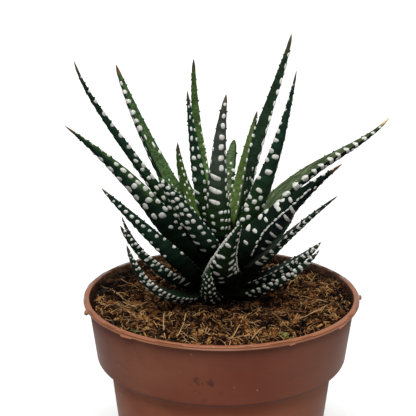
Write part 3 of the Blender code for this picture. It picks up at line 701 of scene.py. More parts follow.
class LeafMesh:
    """Points, faces and painted values of one leaf as they are gathered."""

    def __init__(self, surface, coat, draw):
        self.surface = surface
        self.coat = coat
        self.draw = draw
        self.points = []
        self.faces = []
        self.shares = []
        self.angles = []
        self.marks = []
        self.count = 0

    def add(self, points, shares, angles, marks, faces):
        start = self.count
        self.points.append(points)
        self.shares.append(shares)
        self.angles.append(angles)
        self.marks.append(marks)
        self.faces += [tuple(start + i for i in face) for face in faces]
        self.count += len(points)

    def add_body(self):
        surface = self.surface
        stations = max(24, round(surface.length / STATION_STEP))
        shares = np.linspace(0.0, SKIN_END_SHARE, stations)
        angles = np.linspace(0.0, 2 * np.pi, LEAF_SIDES, endpoint=False)
        share_grid, angle_grid = np.meshgrid(shares, angles, indexing="ij")
        points = surface.points(share_grid.ravel(), angle_grid.ravel())
        for i in range(LEAF_SIDES):
            points[i] = seat_on_crown(points[i], surface.heading[0])
        faces = tube_faces(stations, LEAF_SIDES)[:-1]
        last = (stations - 1) * LEAF_SIDES
        tip = len(points)
        faces += [(last + i, last + (i + 1) % LEAF_SIDES, tip) for i in range(LEAF_SIDES)]
        points = np.vstack([points, surface.course[-1]])
        share_list = np.append(share_grid.ravel(), 1.0)
        angle_list = np.append(angle_grid.ravel(), 0.5 * np.pi)
        self.add(points, share_list, angle_list, np.zeros(len(points)), faces)

    def add_domes(self, domes, segments, rings, white):
        """Raise pillow-shaped domes; each is share, angle, size across, size along, height and tilt."""
        if not domes:
            return
        surface = self.surface
        turns = np.linspace(0.0, 2 * np.pi, segments, endpoint=False)
        samples = []
        faces = []
        for share, angle, across, along, height, tilt in domes:
            start = len(samples)
            lobes = [self.draw.uniform(0, 2 * math.pi) for _ in range(2)]
            outline = 1.0 + 0.07 * np.sin(2 * turns + lobes[0]) + 0.05 * np.sin(3 * turns + lobes[1])
            per_radian = surface.around_per_radian(share, angle)
            samples.append((share, angle, height, white))
            for r in rings[1:]:
                x = across * r * outline * np.sign(np.cos(turns)) * np.abs(np.cos(turns)) ** 0.85
                y = along * r * outline * np.sign(np.sin(turns)) * np.abs(np.sin(turns)) ** 0.85
                around = angle + (x * math.cos(tilt) - y * math.sin(tilt)) / per_radian
                ahead = share + (x * math.sin(tilt) + y * math.cos(tilt)) / surface.length
                lift = height * max(0.0, 1.0 - r * r) ** 0.7 if r < 1.0 else -0.1
                mark = white if r < 0.8 else white * 0.8 if r < 1.0 else white * 0.1
                samples += [(a, b, lift, mark) for a, b in zip(ahead, around)]
            faces += [(start, start + 1 + (i + 1) % segments, start + 1 + i) for i in range(segments)]
            for k in range(len(rings) - 2):
                faces += band_faces(start + 1 + k * segments, start + 1 + (k + 1) * segments, segments)
        shares, angles, lifts, marks = np.array(samples).T
        shares = np.clip(shares, 0.0, 0.995)
        points = surface.points(shares, angles) + surface.normals(shares, angles) * lifts[:, None]
        self.add(points, shares, angles, marks, [face[::-1] for face in faces])

    def row_domes(self):
        """The tubercles of every row, smaller where the leaf is narrow."""
        surface, draw = self.surface, self.draw
        domes = []
        for row in self.coat.rows:
            first, last = row.span
            steps = max(1, round((last - first) * surface.length / row.pitch))
            for k in range(steps + 1):
                part = k / steps
                share = first + (last - first) * part
                half = float(surface.half_width(np.array([share]))[0])
                narrow = min(1.0, (half / NARROW_HALF_WIDTH) ** 0.6)
                share += draw.uniform(-0.1, 0.1) * row.pitch / surface.length
                turn = row.angles[0] + (row.angles[1] - row.angles[0]) * part
                angle = math.radians(turn + draw.uniform(-3, 3))
                across = row.across * narrow * draw.uniform(0.86, 1.14)
                along = row.along * narrow * draw.uniform(0.86, 1.14)
                height = 0.26 * min(across, along) + 0.1
                skew = math.radians(row.skew + draw.uniform(-8, 8))
                if self.is_free(domes, share, angle, 0.5 * (across + along), 0.75):
                    domes.append((share, angle, across, along, height, skew))
        return domes

    def is_free(self, domes, share, angle, size, closeness):
        """Whether a dome of this size would keep clear of those that are placed."""
        around = self.surface.around_per_radian(share, angle)
        for other in domes:
            turn = (angle - other[1] + math.pi) % (2 * math.pi) - math.pi
            distance = math.hypot(turn * around, (share - other[0]) * self.surface.length)
            if distance < closeness * (size + 0.5 * (other[2] + other[3])):
                return False
        return True

    def tooth_domes(self, tubercles):
        """Small green teeth along both margins, where no tubercle is."""
        surface, draw = self.surface, self.draw
        steps = surface.bands * 2
        domes = []
        for direction in (0.0, math.pi):
            for k in range(steps):
                share = LAST_BAND_SHARE * (k + 0.5 + draw.uniform(-0.15, 0.15)) / steps
                if share > LAST_TOOTH_SHARE:
                    break
                height = draw.uniform(0.30, 0.70)
                if self.is_free(tubercles, share, direction, 0.4, 0.9):
                    along = draw.uniform(0.42, 0.62)
                    domes.append((share, direction, TOOTH_HALF_WIDTH, along, height, 0.0))
        return domes

    def build(self, name, material):
        self.add_body()
        tubercles = self.row_domes()
        self.add_domes(tubercles, DOME_SEGMENTS, DOME_RINGS, 1.0)
        self.add_domes(self.tooth_domes(tubercles), TOOTH_SEGMENTS, TOOTH_RINGS, 0.12)
        points = np.vstack(self.points) + PLANT
        piece = mesh_piece(name, points, self.faces)
        shares = np.concatenate(self.shares)
        angles = np.concatenate(self.angles)
        self.paint_tones(piece, shares, angles)
        piece.data.materials.append(material)
        return piece

    def paint_tones(self, piece, shares, angles):
        surface, coat = self.surface, self.coat
        over_margin = np.degrees(np.arcsin(np.clip(np.sin(angles), -1.0, 1.0)))
        wrap = np.where(np.cos(angles) > 0, coat.wrap[0], coat.wrap[1])
        facing = np.clip((over_margin + wrap) / FACING_BLEND + 0.5, 0.0, 1.0)
        facing = (facing * np.clip((shares - coat.start) / START_BLEND, 0.0, 1.0))[:, None]
        upper = np.array(TONES[coat.upper])
        under = np.array(TONES[coat.under])
        tip = np.array(TONES[coat.tip])
        foot = np.array(TONES[coat.foot])
        rooted = np.clip(1.5 - shares / 0.4, 0.0, 1.0)[:, None]
        under = (1 - rooted) * under + rooted * foot
        # A side colour paints that flank of the underside in shade, with a bluish painted reflection
        if coat.side:
            beyond = ((np.sin(angles) < 0) * np.clip(6.0 * np.cos(angles), 0.0, 1.0))[:, None]
            under = (1 - beyond) * under + beyond * np.array(TONES[coat.side])
        tone = (1 - facing) * under + facing * upper * (1 + 0.5 * rooted)
        left = (1.0 - shares) * surface.length / coat.tip_length
        dry = np.clip(1.25 - left, 0.0, 1.0)[:, None]
        tone = (1 - dry) * tone + dry * tip
        # Painted shade: the skin darkens towards the plant's middle, where the leaves shade one another
        depth = np.linalg.norm((np.vstack(self.points) - PAINTED_SHADE_CENTRE) / PAINTED_SHADE_SIZE, axis=1)
        painted_shade = np.clip(1.9 * (1.0 - depth), 0.0, 1.0)
        u, _ = surface.section(shares, angles)
        place = np.stack([u, shares * surface.length, np.full(len(u), 37.0 * surface.phase)], axis=1)
        paint(piece, "tone", np.hstack([tone, np.ones((len(tone), 1))]))
        paint(piece, "mark", np.concatenate(self.marks))
        paint(piece, "cross", facing[:, 0] * coat.cross)
        paint(piece, "fleck", facing[:, 0] * coat.fleck)
        paint(piece, "painted_shade", painted_shade)
        paint(piece, "place", place)


def leaf_material():
    material, nodes = new_material("haworthia_leaf")
    place = nodes.attribute("place", "Vector")
    painted_shade = nodes.attribute("painted_shade")
    crossed = nodes.attribute("cross")
    flecked = nodes.attribute("fleck")
    clouds = nodes.noise(place, 0.22, 4.0)
    crosses = nodes.noise(nodes.stretched(place, (0.34, 0.95, 1.0)), 1.0, 2.0, 0.6, 1.3)
    flecks = nodes.noise(nodes.stretched(place, (1.25, 0.17, 1.0)), 1.0, 3.0, 0.6)
    brightness = nodes.ranged(clouds, 0.3, 0.7, 0.72, 1.3)
    green = nodes.mixed(1.0, nodes.attribute("tone", "Color"), brightness, "MULTIPLY")
    for pattern, strength, start, end, most, factors in (
            (crosses, crossed, 0.48, 0.58, 1.0, (0.40, 0.46, 0.42, 1.0)),
            (crosses, crossed, 0.46, 0.38, 0.7, (1.5, 1.4, 1.6, 1.0)),
            (flecks, flecked, 0.52, 0.62, 1.0, (3.0, 2.6, 3.6, 1.0)),
            (flecks, flecked, 0.47, 0.38, 0.8, (0.34, 0.42, 0.28, 1.0))):
        share = nodes.product(nodes.ranged(pattern, start, end, 0.0, most), strength)
        green = nodes.tinted(share, green, factors)
    chalk = nodes.ramp(nodes.noise(place, 0.9), [(0.3, srgb(204, 204, 192)), (0.7, srgb(250, 251, 243))])
    # Painted shade towards the plant's middle, on the green and on the tubercles
    green = nodes.mixed(nodes.product(painted_shade, 0.93), green, srgb(12, 15, 10))
    chalk = nodes.mixed(nodes.product(painted_shade, 0.62), chalk, srgb(20, 22, 16))
    white = nodes.ranged(nodes.attribute("mark"), 0.25, 0.75, 0.0, 1.0)
    gloss = nodes.ranged(clouds, 0.3, 0.7, 0.36, 0.52)
    rough = nodes.maths("ADD", gloss, nodes.product(white, 0.12))
    set_shader(nodes, nodes.mixed(white, green, chalk), rough, {"Specular IOR Level": 0.1, "IOR": 1.3},
               [(crosses, 0.22, 0.5), (nodes.noise(place, 5.0), 0.08, 0.5)])
    return material


def make_leaves():
    material = leaf_material()
    for number, leaf in enumerate(LEAVES, start=1):
        draw = random.Random(100 + number)
        surface = LeafSurface(leaf, draw)
        coat = COATS.get(number, Coat(rows=PLAIN_ROWS if leaf.pitch > 3.0 else SMALL_ROWS))
        hidden = tuple(Row((angle, angle), *HIDDEN_ROW) for angle in HIDDEN_SIDES.get(number, ()))
        coat = replace(coat, rows=coat.rows + hidden)
        piece = LeafMesh(surface, coat, draw).build(f"leaf_{number:02d}_skin", material)
        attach(piece, "root")
        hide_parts(f"leaf_{number:02d}")


# Pot

def arc(centre_radius, centre_height, size, start, end, steps):
    angles = [math.radians(start + (end - start) * i / steps) for i in range(steps + 1)]
    return [(centre_radius + size * math.cos(a), centre_height + size * math.sin(a)) for a in angles]


def between(first, last, steps):
    """Points on the straight line from one point to another, without its ends."""
    return [tuple(a + (b - a) * k / steps for a, b in zip(first, last)) for k in range(1, steps)]


def pot_outline():
    """The wall's closed outline as radius and height: up the inside, down the outside."""
    lip_bottom = POT_HEIGHT - LIP_THICKNESS - 0.2
    inner_top = COLLAR_TOP_RADIUS - WALL
    inner_bottom = COLLAR_BOTTOM_RADIUS - WALL
    line = [(inner_top, POT_HEIGHT - 2.4), (LIP_INNER_RADIUS - 0.15, POT_HEIGHT - 0.9)]
    line += arc(LIP_INNER_RADIUS + LIP_INNER_ROUND, POT_HEIGHT - LIP_INNER_ROUND, LIP_INNER_ROUND, 180, 90, 4)
    line += arc(RIM_RADIUS - 0.5, POT_HEIGHT - LIP_ROUND, LIP_ROUND, 90, 0, 4)
    line += [(RIM_RADIUS - 0.15, POT_HEIGHT - 0.5), (GROOVE_RADIUS, POT_HEIGHT - 0.62),
             (GROOVE_RADIUS, POT_HEIGHT - 0.72), (RIM_RADIUS - 0.1, POT_HEIGHT - 0.84)]
    line += arc(RIM_RADIUS - LIP_ROUND, lip_bottom + LIP_ROUND, LIP_ROUND, 0, -90, 4)
    line += arc(COLLAR_TOP_RADIUS + UNDER_LIP_ROUND, lip_bottom - UNDER_LIP_ROUND,
                UNDER_LIP_ROUND, 90, 180, 4)
    line += between((COLLAR_TOP_RADIUS, lip_bottom - UNDER_LIP_ROUND),
                    (COLLAR_BOTTOM_RADIUS, COLLAR_BOTTOM + COLLAR_EDGE_ROUND), 6)
    line += arc(COLLAR_BOTTOM_RADIUS - COLLAR_EDGE_ROUND, COLLAR_BOTTOM + COLLAR_EDGE_ROUND,
                COLLAR_EDGE_ROUND, 0, -90, 8)
    line += arc(BODY_TOP_RADIUS + STEP_ROUND, COLLAR_BOTTOM - STEP_ROUND, STEP_ROUND, 90, 180, 4)
    line += between((BODY_TOP_RADIUS, COLLAR_BOTTOM - STEP_ROUND), (BASE_RADIUS, BASE_EDGE_ROUND), 8)
    line += arc(BASE_RADIUS - BASE_EDGE_ROUND, BASE_EDGE_ROUND, BASE_EDGE_ROUND, 0, -90, 5)
    inner = [(BASE_RADIUS - WALL - 1.0, BASE_THICKNESS), (BASE_RADIUS - WALL, BASE_THICKNESS + 1.0)]
    inner += [(BODY_TOP_RADIUS - WALL, COLLAR_BOTTOM + WALL), (inner_bottom - 1.5, COLLAR_BOTTOM + WALL)]
    inner += [(inner_bottom, COLLAR_BOTTOM + WALL + 1.5)]
    return inner + line


def dirt_and_shade_share(x, y, z):
    """How much a place of the pot is painted dark with dirt and painted shade, on its inside and
    at the back of its lip, from its place in metres.
    """
    radius = math.hypot(x, y) / MM
    height = z / MM
    if height > COLLAR_BOTTOM + WALL:
        up = (height - COLLAR_BOTTOM) / (POT_HEIGHT - COLLAR_BOTTOM)
        outside = COLLAR_BOTTOM_RADIUS + (COLLAR_TOP_RADIUS - COLLAR_BOTTOM_RADIUS) * up
    else:
        outside = BASE_RADIUS + (BODY_TOP_RADIUS - BASE_RADIUS) * height / COLLAR_BOTTOM
    # Dirt and painted shade on the lip's top: at its inner edge, and more towards the back
    if height > POT_HEIGHT - 0.7:
        inner = 0.7 if height < POT_HEIGHT - 0.1 and radius < LIP_INNER_RADIUS + 0.2 else 0.0
        if radius < GROOVE_RADIUS + 0.1:
            return max(inner, 0.92 * held((y / MM - 4.0) / 20.0))
        return 0.6 * held((y / MM - 14.0) / 20.0)
    return 1.0 if radius < outside - 0.3 * WALL and height > 0.5 * BASE_THICKNESS else 0.0


def make_pot(material, dirt_and_shade_material):
    """The finer pot: a skin turned round the axis, with drain holes and a matt inside of dirt and painted
    shade.
    """
    points = []
    for radius, height in pot_outline():
        for i in range(POT_SIDES):
            a = 2 * math.pi * i / POT_SIDES
            place = Vector((2.2 * math.cos(a), 2.2 * math.sin(a), 1.0))
            size = radius
            if radius == GROOVE_RADIUS:
                size += GROOVE_CLOSING * held(0.5 + 3.0 * noise.noise(4.0 * place))
            elif radius > COLLAR_TOP_RADIUS + 1.0:
                size += 0.06 * noise.noise(6.0 * place) - 0.06
            points.append(polar(size, a, height))
    faces = tube_faces(len(points) // POT_SIDES, POT_SIDES)
    piece = mesh_piece("pot_shell", points, [face[::-1] for face in faces])
    cut_drain_holes(piece)
    dirt_and_shade = [dirt_and_shade_share(*point.co) for point in piece.data.vertices]
    paint(piece, "dirt_and_shade", dirt_and_shade)
    piece.data.materials.append(material)
    piece.data.materials.append(dirt_and_shade_material)
    for face in piece.data.polygons:
        face.material_index = int(min(dirt_and_shade[i] for i in face.vertices) > 0.65)
    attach(piece, "root")
    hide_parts("pot")


def cut_drain_holes(piece):
    """Cut the holes through the base with one tool piece, which is then removed."""
    pile = Pile()
    for hole in range(DRAIN_HOLES):
        centre = polar(DRAIN_CIRCLE_RADIUS, 2 * math.pi * hole / DRAIN_HOLES, 0.0)
        points = [centre + polar(DRAIN_HOLE_RADIUS, 2 * math.pi * i / DRAIN_SIDES, height)
                  for height in (-4.0, 4.0) for i in range(DRAIN_SIDES)]
        pile.add(points, tube_faces(2, DRAIN_SIDES))
    cutter = mesh_piece("drain_cutter", pile.points, pile.faces)
    cut = piece.modifiers.new("drain_holes", "BOOLEAN")
    cut.object = cutter
    cut.operation = "DIFFERENCE"
    bpy.context.view_layer.update()
    graph = bpy.context.evaluated_depsgraph_get()
    mesh = bpy.data.meshes.new_from_object(piece.evaluated_get(graph))
    piece.modifiers.clear()
    piece.data = mesh
    bpy.data.objects.remove(cutter, do_unlink=True)


def make_nubs(material):
    """Small lumps that the mould left on the lip's outside."""
    draw = random.Random(3)
    corner, triangles = ball(2)
    pile = Pile()
    for turn in NUBS:
        lump = roughened(corner, 1.4, 0.25, turn) * np.array([0.95, 0.85, 1.15])
        height = POT_HEIGHT - 1.5 - draw.uniform(0.0, 0.3)
        pile.add(lump + polar(RIM_RADIUS + 0.25, math.radians(turn), height), triangles)
    pile.piece("pot_nubs", material)


def make_slivers(material):
    """Thin flash hanging from the lip's lower edge, blunt at one end and ragged below."""
    draw = random.Random(5)
    top = POT_HEIGHT - LIP_THICKNESS - 0.05
    pile = Pile()
    for turn, length, drop in SLIVERS:
        points = []
        for share in np.linspace(0.0, 1.0, SLIVER_STATIONS):
            a = math.radians(turn) + (share - 0.5) * length / RIM_RADIUS
            hang = drop * (1.0 - 0.75 * share) * draw.uniform(0.85, 1.0) * min(1.0, 14.0 * share + 0.3)
            points += [polar(RIM_RADIUS + out, a, top - down)
                       for out, down in ((-0.15, 0.0), (0.03, 0.0), (0.05, hang), (-0.2, hang))]
        pile.add(points, tube_faces(SLIVER_STATIONS, 4))
    pile.piece("pot_slivers", material, smooth=False)


def pot_material(name, tints, sheen, specular):
    """Moulded plastic with cloudy tints, a redder front, specks and a lighter, more orange lip, with
    painted sheen on the sides, painted light under the collar, and dirt and painted shade inside.
    """
    material, nodes = new_material(name)
    place = nodes.coordinates()
    across, _, height = nodes.parts(place)
    clouds = nodes.noise(place, 22.0, 5.0, 0.6)
    smears = nodes.noise(nodes.stretched(place, (30.0, 30.0, 140.0)), 1.0, 4.0, 0.6)
    blots = nodes.noise(place, 300.0, 3.0, 0.6)
    near_stain = nodes.ranged(nodes.distance(place, (-0.008, -0.056, 0.080)), 0.004, 0.009, 1.0, 0.0)
    under_lip = nodes.ranged(height, 0.0988, 0.0990, 1.0, 0.0)
    colour = nodes.ramp(clouds, list(zip((0.3, 0.5, 0.72), [srgb(*tint) for tint in tints])))
    for share, shade in (
            (nodes.ranged(nodes.distance(place, (0.006, -0.056, 0.081)), 0.012, 0.040, 0.55, 0.0),
             (126, 58, 40)),
            (nodes.ranged(smears, 0.55, 0.75, 0.0, 0.3), (98, 52, 40)),
            (nodes.ranged(nodes.noise(place, 420.0, 2.0), 0.72, 0.8, 0.0, 0.5), (62, 36, 28)),
            (nodes.product(nodes.ranged(blots, 0.56, 0.64, 0.0, 0.75), near_stain), (70, 42, 28)),
            (nodes.ranged(nodes.noise(place, 560.0, 0.0), 0.87, 0.89, 0.0, 0.8), (205, 170, 150)),
            # Painted sheen: the collar's sides are painted lighter and greyer, the right side over a wider
            # band
            (nodes.ranged(across, 0.012, 0.048, 0.0, 0.36), (172, 118, 94)),
            (nodes.ranged(across, -0.058, -0.046, 0.3, 0.0), (172, 118, 94)),
            (nodes.ranged(height, 0.0983, 0.0988, 0.0, 0.65), (158, 95, 52)),
            (nodes.product(nodes.ranged(height, 0.0985, 0.0986, 0.0, 0.5), under_lip), (206, 160, 130))):
        colour = nodes.mixed(share, colour, srgb(*shade))
    # Painted light: the body just under the collar is lightened where the collar's shadow falls
    body = nodes.product(nodes.ranged(height, 0.0705, 0.0716, 1.0, 0.0),
                         nodes.ranged(height, 0.042, 0.068, 0.15, 1.0))
    colour = nodes.tinted(body, colour, (1.75, 1.85, 1.75, 1.0))
    # Dirt and painted shade inside the pot and on the back of the lip, mottled by a crust
    dirt_and_shade = nodes.product(nodes.attribute("dirt_and_shade"), nodes.ranged(blots, 0.3, 0.6, 0.85, 1.0))
    crust = nodes.ranged(nodes.noise(place, 750.0, 3.0, 0.7, 0.6), 0.42, 0.66, 0.0, 1.0)
    colour = nodes.mixed(dirt_and_shade, colour, nodes.mixed(crust, srgb(14, 10, 8), srgb(78, 61, 44)))
    set_shader(nodes, colour, nodes.ranged(smears, 0.3, 0.7, 0.42, 0.56),
               {"Specular IOR Level": specular, "Sheen Weight": sheen, "Sheen Roughness": 0.35,
                "Sheen Tint": (1.0, 0.90, 0.86, 1.0)},
               [(clouds, 0.35, 0.4), (nodes.noise(place, 1500.0, 2.0), 0.05, 0.35)])
    return material


# Soil

def soil_height(x, y):
    """Height of the CAD soil's top at a place."""
    share = 1.0
    for _ in range(4):
        away = math.hypot(x - PLANT[0] * (1 - share), y - PLANT[1] * (1 - share))
        share = held((away - SOIL_HOLE_RADIUS) / (SOIL_RADIUS - SOIL_HOLE_RADIUS))
    mound = SOIL_CENTRE_HEIGHT + (SOIL_EDGE_HEIGHT - SOIL_CENTRE_HEIGHT) * share
    lumps = math.sin(0.31 * x + 1.3) * math.cos(0.27 * y - 0.4) + 0.6 * math.sin(0.53 * x - 0.61 * y)
    return mound + SOIL_LUMP * (lumps - 1.0) * min(1.0, 2.0 * share)


def soil_relief(x, y):
    """Lumps and hollows of the loose coir above the CAD soil's top."""
    clod_distance = noise.voronoi(Vector((x / 6.5, y / 6.5, 0.3)))[0][0]
    clods = 1.5 * (0.55 - min(1.0, clod_distance))
    rolls = 1.3 * noise.fractal(Vector((x / 9.0, y / 9.0, 4.0)), 0.8, 2.0, 4)
    crumbs = 0.8 * noise.fractal(Vector((x / 2.4, y / 2.4, 9.0)), 0.7, 2.1, 4)
    return clods + rolls + crumbs


def soil_top_height(x, y):
    edge = held((SOIL_RADIUS - math.hypot(x, y)) / 5.0)
    return soil_height(x, y) + 0.7 + soil_relief(x, y) * (0.35 + 0.65 * edge)


def make_soil_top(material):
    """The soil's rough skin: a grid of points drawn out to a disc, with a skirt below."""
    size = SOIL_GRID
    sides = np.linspace(-1.0, 1.0, size)
    pile = Pile()
    for b in sides:
        for a in sides:
            x = SOIL_RADIUS * a * math.sqrt(1 - b * b / 2)
            y = SOIL_RADIUS * b * math.sqrt(1 - a * a / 2)
            z = soil_top_height(x, y)
            # Lower places of the skin get a darker tint: painted shade in its hollows
            pile.add([(x, y, z)], [], soil_tint(x, y, -0.42 + 0.16 * (z - soil_height(x, y))))
    for j in range(size - 1):
        for k in range(j * size, j * size + size - 1):
            pile.faces.append((k, k + 1, k + size + 1, k + size))
    rim = list(range(size)) + [j * size + size - 1 for j in range(1, size)]
    rim += [(size - 1) * size + i for i in range(size - 2, -1, -1)]
    rim += [j * size for j in range(size - 2, 0, -1)]
    start = len(pile.points)
    pile.add([(*pile.points[k][:2], SOIL_EDGE_HEIGHT - SKIRT_DEPTH) for k in rim], [])
    count = len(rim)
    for i in range(count):
        j = (i + 1) % count
        pile.faces.append((rim[i], start + i, start + j, rim[j]))
    pile.faces.append(tuple(start + i for i in range(count))[::-1])
    pile.piece("soil_top", material)


def ball(levels):
    """Points and faces of a round ball of triangles."""
    golden = (1 + math.sqrt(5)) / 2
    points = [(-1, golden, 0), (1, golden, 0), (-1, -golden, 0), (1, -golden, 0),
              (0, -1, golden), (0, 1, golden), (0, -1, -golden), (0, 1, -golden),
              (golden, 0, -1), (golden, 0, 1), (-golden, 0, -1), (-golden, 0, 1)]
    points = [unit(np.array(p, float)) for p in points]
    faces = [(0, 11, 5), (0, 5, 1), (0, 1, 7), (0, 7, 10), (0, 10, 11), (1, 5, 9), (5, 11, 4), (11, 10, 2),
             (10, 7, 6), (7, 1, 8), (3, 9, 4), (3, 4, 2), (3, 2, 6), (3, 6, 8), (3, 8, 9), (4, 9, 5),
             (2, 4, 11), (6, 2, 10), (8, 6, 7), (9, 8, 1)]
    for _ in range(levels):
        middles = {}
        finer = []

        def middle(i, j):
            key = (min(i, j), max(i, j))
            if key not in middles:
                middles[key] = len(points)
                points.append(unit(points[i] + points[j]))
            return middles[key]
        for a, b, c in faces:
            ab, bc, ca = middle(a, b), middle(b, c), middle(c, a)
            finer += [(a, ab, ca), (b, bc, ab), (c, ca, bc), (ab, bc, ca)]
        faces = finer
    return np.array(points), faces


def turned_about(points, yaw, pitch):
    """Tip points up by pitch about the cross axis, then turn them by yaw about the upright one."""
    x, y, z = points.T
    x, z = x * math.cos(pitch) - z * math.sin(pitch), x * math.sin(pitch) + z * math.cos(pitch)
    return np.stack([x * math.cos(yaw) - y * math.sin(yaw), x * math.sin(yaw) + y * math.cos(yaw), z], axis=1)


def clump_tint(x, y):
    """How golden the coir is at a place, from dark hollows to bright clumps."""
    broad = noise.noise(Vector((x / 7.0, y / 7.0, 2.0)))
    return 0.5 + 0.55 * broad + 0.45 * noise.noise(Vector((x / 1.7, y / 1.7, 5.0)))


def hollow_shade(x, y):
    """Painted shade on the soil: in hollows and beside the pot's wall, most of all at the left
    and the back, and a painted shadow under the plant.
    """
    hollow_shadow = max(strength * held(1.0 - math.hypot(x - spot_x, y - spot_y) / radius)
               for spot_x, spot_y, radius, strength in SHADED_HOLLOWS)
    wall = max(0.0, (math.hypot(x, y) - 51.5) / 5.0) * 0.8 * held((y + 16.0) / 40.0)
    shadow = 0.9 * held(1.0 - math.hypot((x - 1.0) / 32.0, (y + 2.0) / 19.0))
    return min(1.0, max(1.3 * hollow_shadow, wall, 1.5 * shadow))


def soil_tint(x, y, shift):
    return held((clump_tint(x, y) + shift) * (1.0 - 0.9 * hollow_shade(x, y)))


def roughened(corner, scale, amount, shift):
    """Points of a round ball moved in and out, each ball by another shift."""
    sizes = [1.0 + amount * noise.noise(Vector(point * scale) + Vector((shift, 0, 0))) for point in corner]
    return corner * np.array(sizes)[:, None]


SHARD_FACES = [(0, 1, 3, 2), (4, 6, 7, 5), (0, 4, 5, 1), (2, 3, 7, 6), (0, 2, 6, 4), (1, 5, 7, 3)]


def shard(draw, size, pitch):
    """Corners of a rough splinter. Size is its half length, half width and half thickness."""
    corner = []
    for end in (-1, 1):
        narrow = draw.uniform(0.35, 0.95)
        for side in (-1, 1):
            for face in (-1, 1):
                corner.append((end * draw.uniform(0.8, 1.1), side * narrow * draw.uniform(0.7, 1.2),
                               face * narrow * draw.uniform(0.6, 1.2)))
    return turned_about(np.array(corner) * np.array(size), draw.uniform(0, 2 * math.pi), pitch)


def random_place(draw, edge):
    radius = (SOIL_RADIUS - edge) * math.sqrt(draw.random())
    turn = draw.uniform(0, 2 * math.pi)
    return radius * math.cos(turn), radius * math.sin(turn)


def make_chips(material):
    """Splinters of coir strewn over the soil, most of them small."""
    draw = random.Random(17)
    pile = Pile()
    for k in range(CHIPS):
        x, y = random_place(draw, 0.5)
        bark = k % BARK_CHIP_EVERY == 0
        length = draw.uniform(1.8, 3.4) if bark else min(0.45 + 0.42 * draw.expovariate(1.0), 2.2)
        width = draw.uniform(0.6, 1.0) if bark else draw.uniform(0.16, 0.36)
        pitch = draw.uniform(-0.55, 0.55)
        height = soil_top_height(x, y) + 0.15 + 0.45 * length * abs(math.sin(pitch))
        points = shard(draw, (length, width, 0.6 * width), pitch) + np.array([x, y, height])
        pile.add(points, SHARD_FACES, soil_tint(x, y, draw.gauss(0.0, 0.34)))
    pile.piece("soil_chips", material, smooth=False)


def make_crumbs(material):
    """Loose lumps of coir lying on the soil."""
    draw = random.Random(7)
    plain, fine = ball(0), ball(1)
    pile = Pile()
    for _ in range(CRUMBS):
        x, y = random_place(draw, 0.8)
        size = min(0.28 + 0.3 * draw.expovariate(1.0), 1.6)
        corner, triangles = fine if size > 0.7 else plain
        stretch = np.array([draw.uniform(0.7, 1.6), draw.uniform(0.7, 1.1), draw.uniform(0.5, 0.9)]) * size
        lump = roughened(corner, 1.9, 0.6, draw.uniform(0, 50)) * stretch
        lump = turned_about(lump, draw.uniform(0, 2 * math.pi), 0.0)
        place = np.array([x, y, soil_top_height(x, y) + 0.15 * size])
        pile.add(lump + place, triangles, soil_tint(x, y, draw.gauss(-0.05, 0.2)))
    pile.piece("soil_crumbs", material)


def tube(path, radius):
    """Points and faces of a thin four-sided tube along a path, narrow at both ends."""
    path = [np.array(p, float) for p in path]
    points = []
    for k, point in enumerate(path):
        ahead = unit(path[min(k + 1, len(path) - 1)] - path[max(k - 1, 0)])
        side = unit(np.cross(ahead, (0.0, 0.0, 1.0)) + np.array([1e-6, 0, 0]))
        up = np.cross(side, ahead)
        size = radius * (0.35 if k in (0, len(path) - 1) else 1.0)
        points += [point + size * (u * side + v * up) for u, v in ((1, 0), (0, 1), (-1, 0), (0, -1))]
    return points, tube_faces(len(path), 4)


def make_moss(material):
    """Tufts of moss: small lumps and upright blades."""
    draw = random.Random(29)
    corner, triangles = ball(1)
    pile = Pile()
    for x, y, spread in MOSS:
        for _ in range(round(26 * spread)):
            px = x + draw.gauss(0.0, 0.45) * spread
            py = y + draw.gauss(0.0, 0.45) * spread
            if math.hypot(px, py) > SOIL_RADIUS - 0.6:
                continue
            size = draw.uniform(0.16, 0.42)
            foot = np.array([px, py, soil_top_height(px, py) + 0.3])
            pile.add(corner * (size, size, 0.8 * size) + foot + (0.0, 0.0, 0.05), triangles)
            lean = np.array([draw.uniform(-0.5, 0.5), draw.uniform(-0.5, 0.5), 0.0])
            blade = [foot, foot + 0.4 * lean + (0.0, 0.0, 0.5), foot + lean + (0.0, 0.0, 0.9)]
            pile.add(*tube(blade, 0.07))
    pile.piece("soil_moss", material)


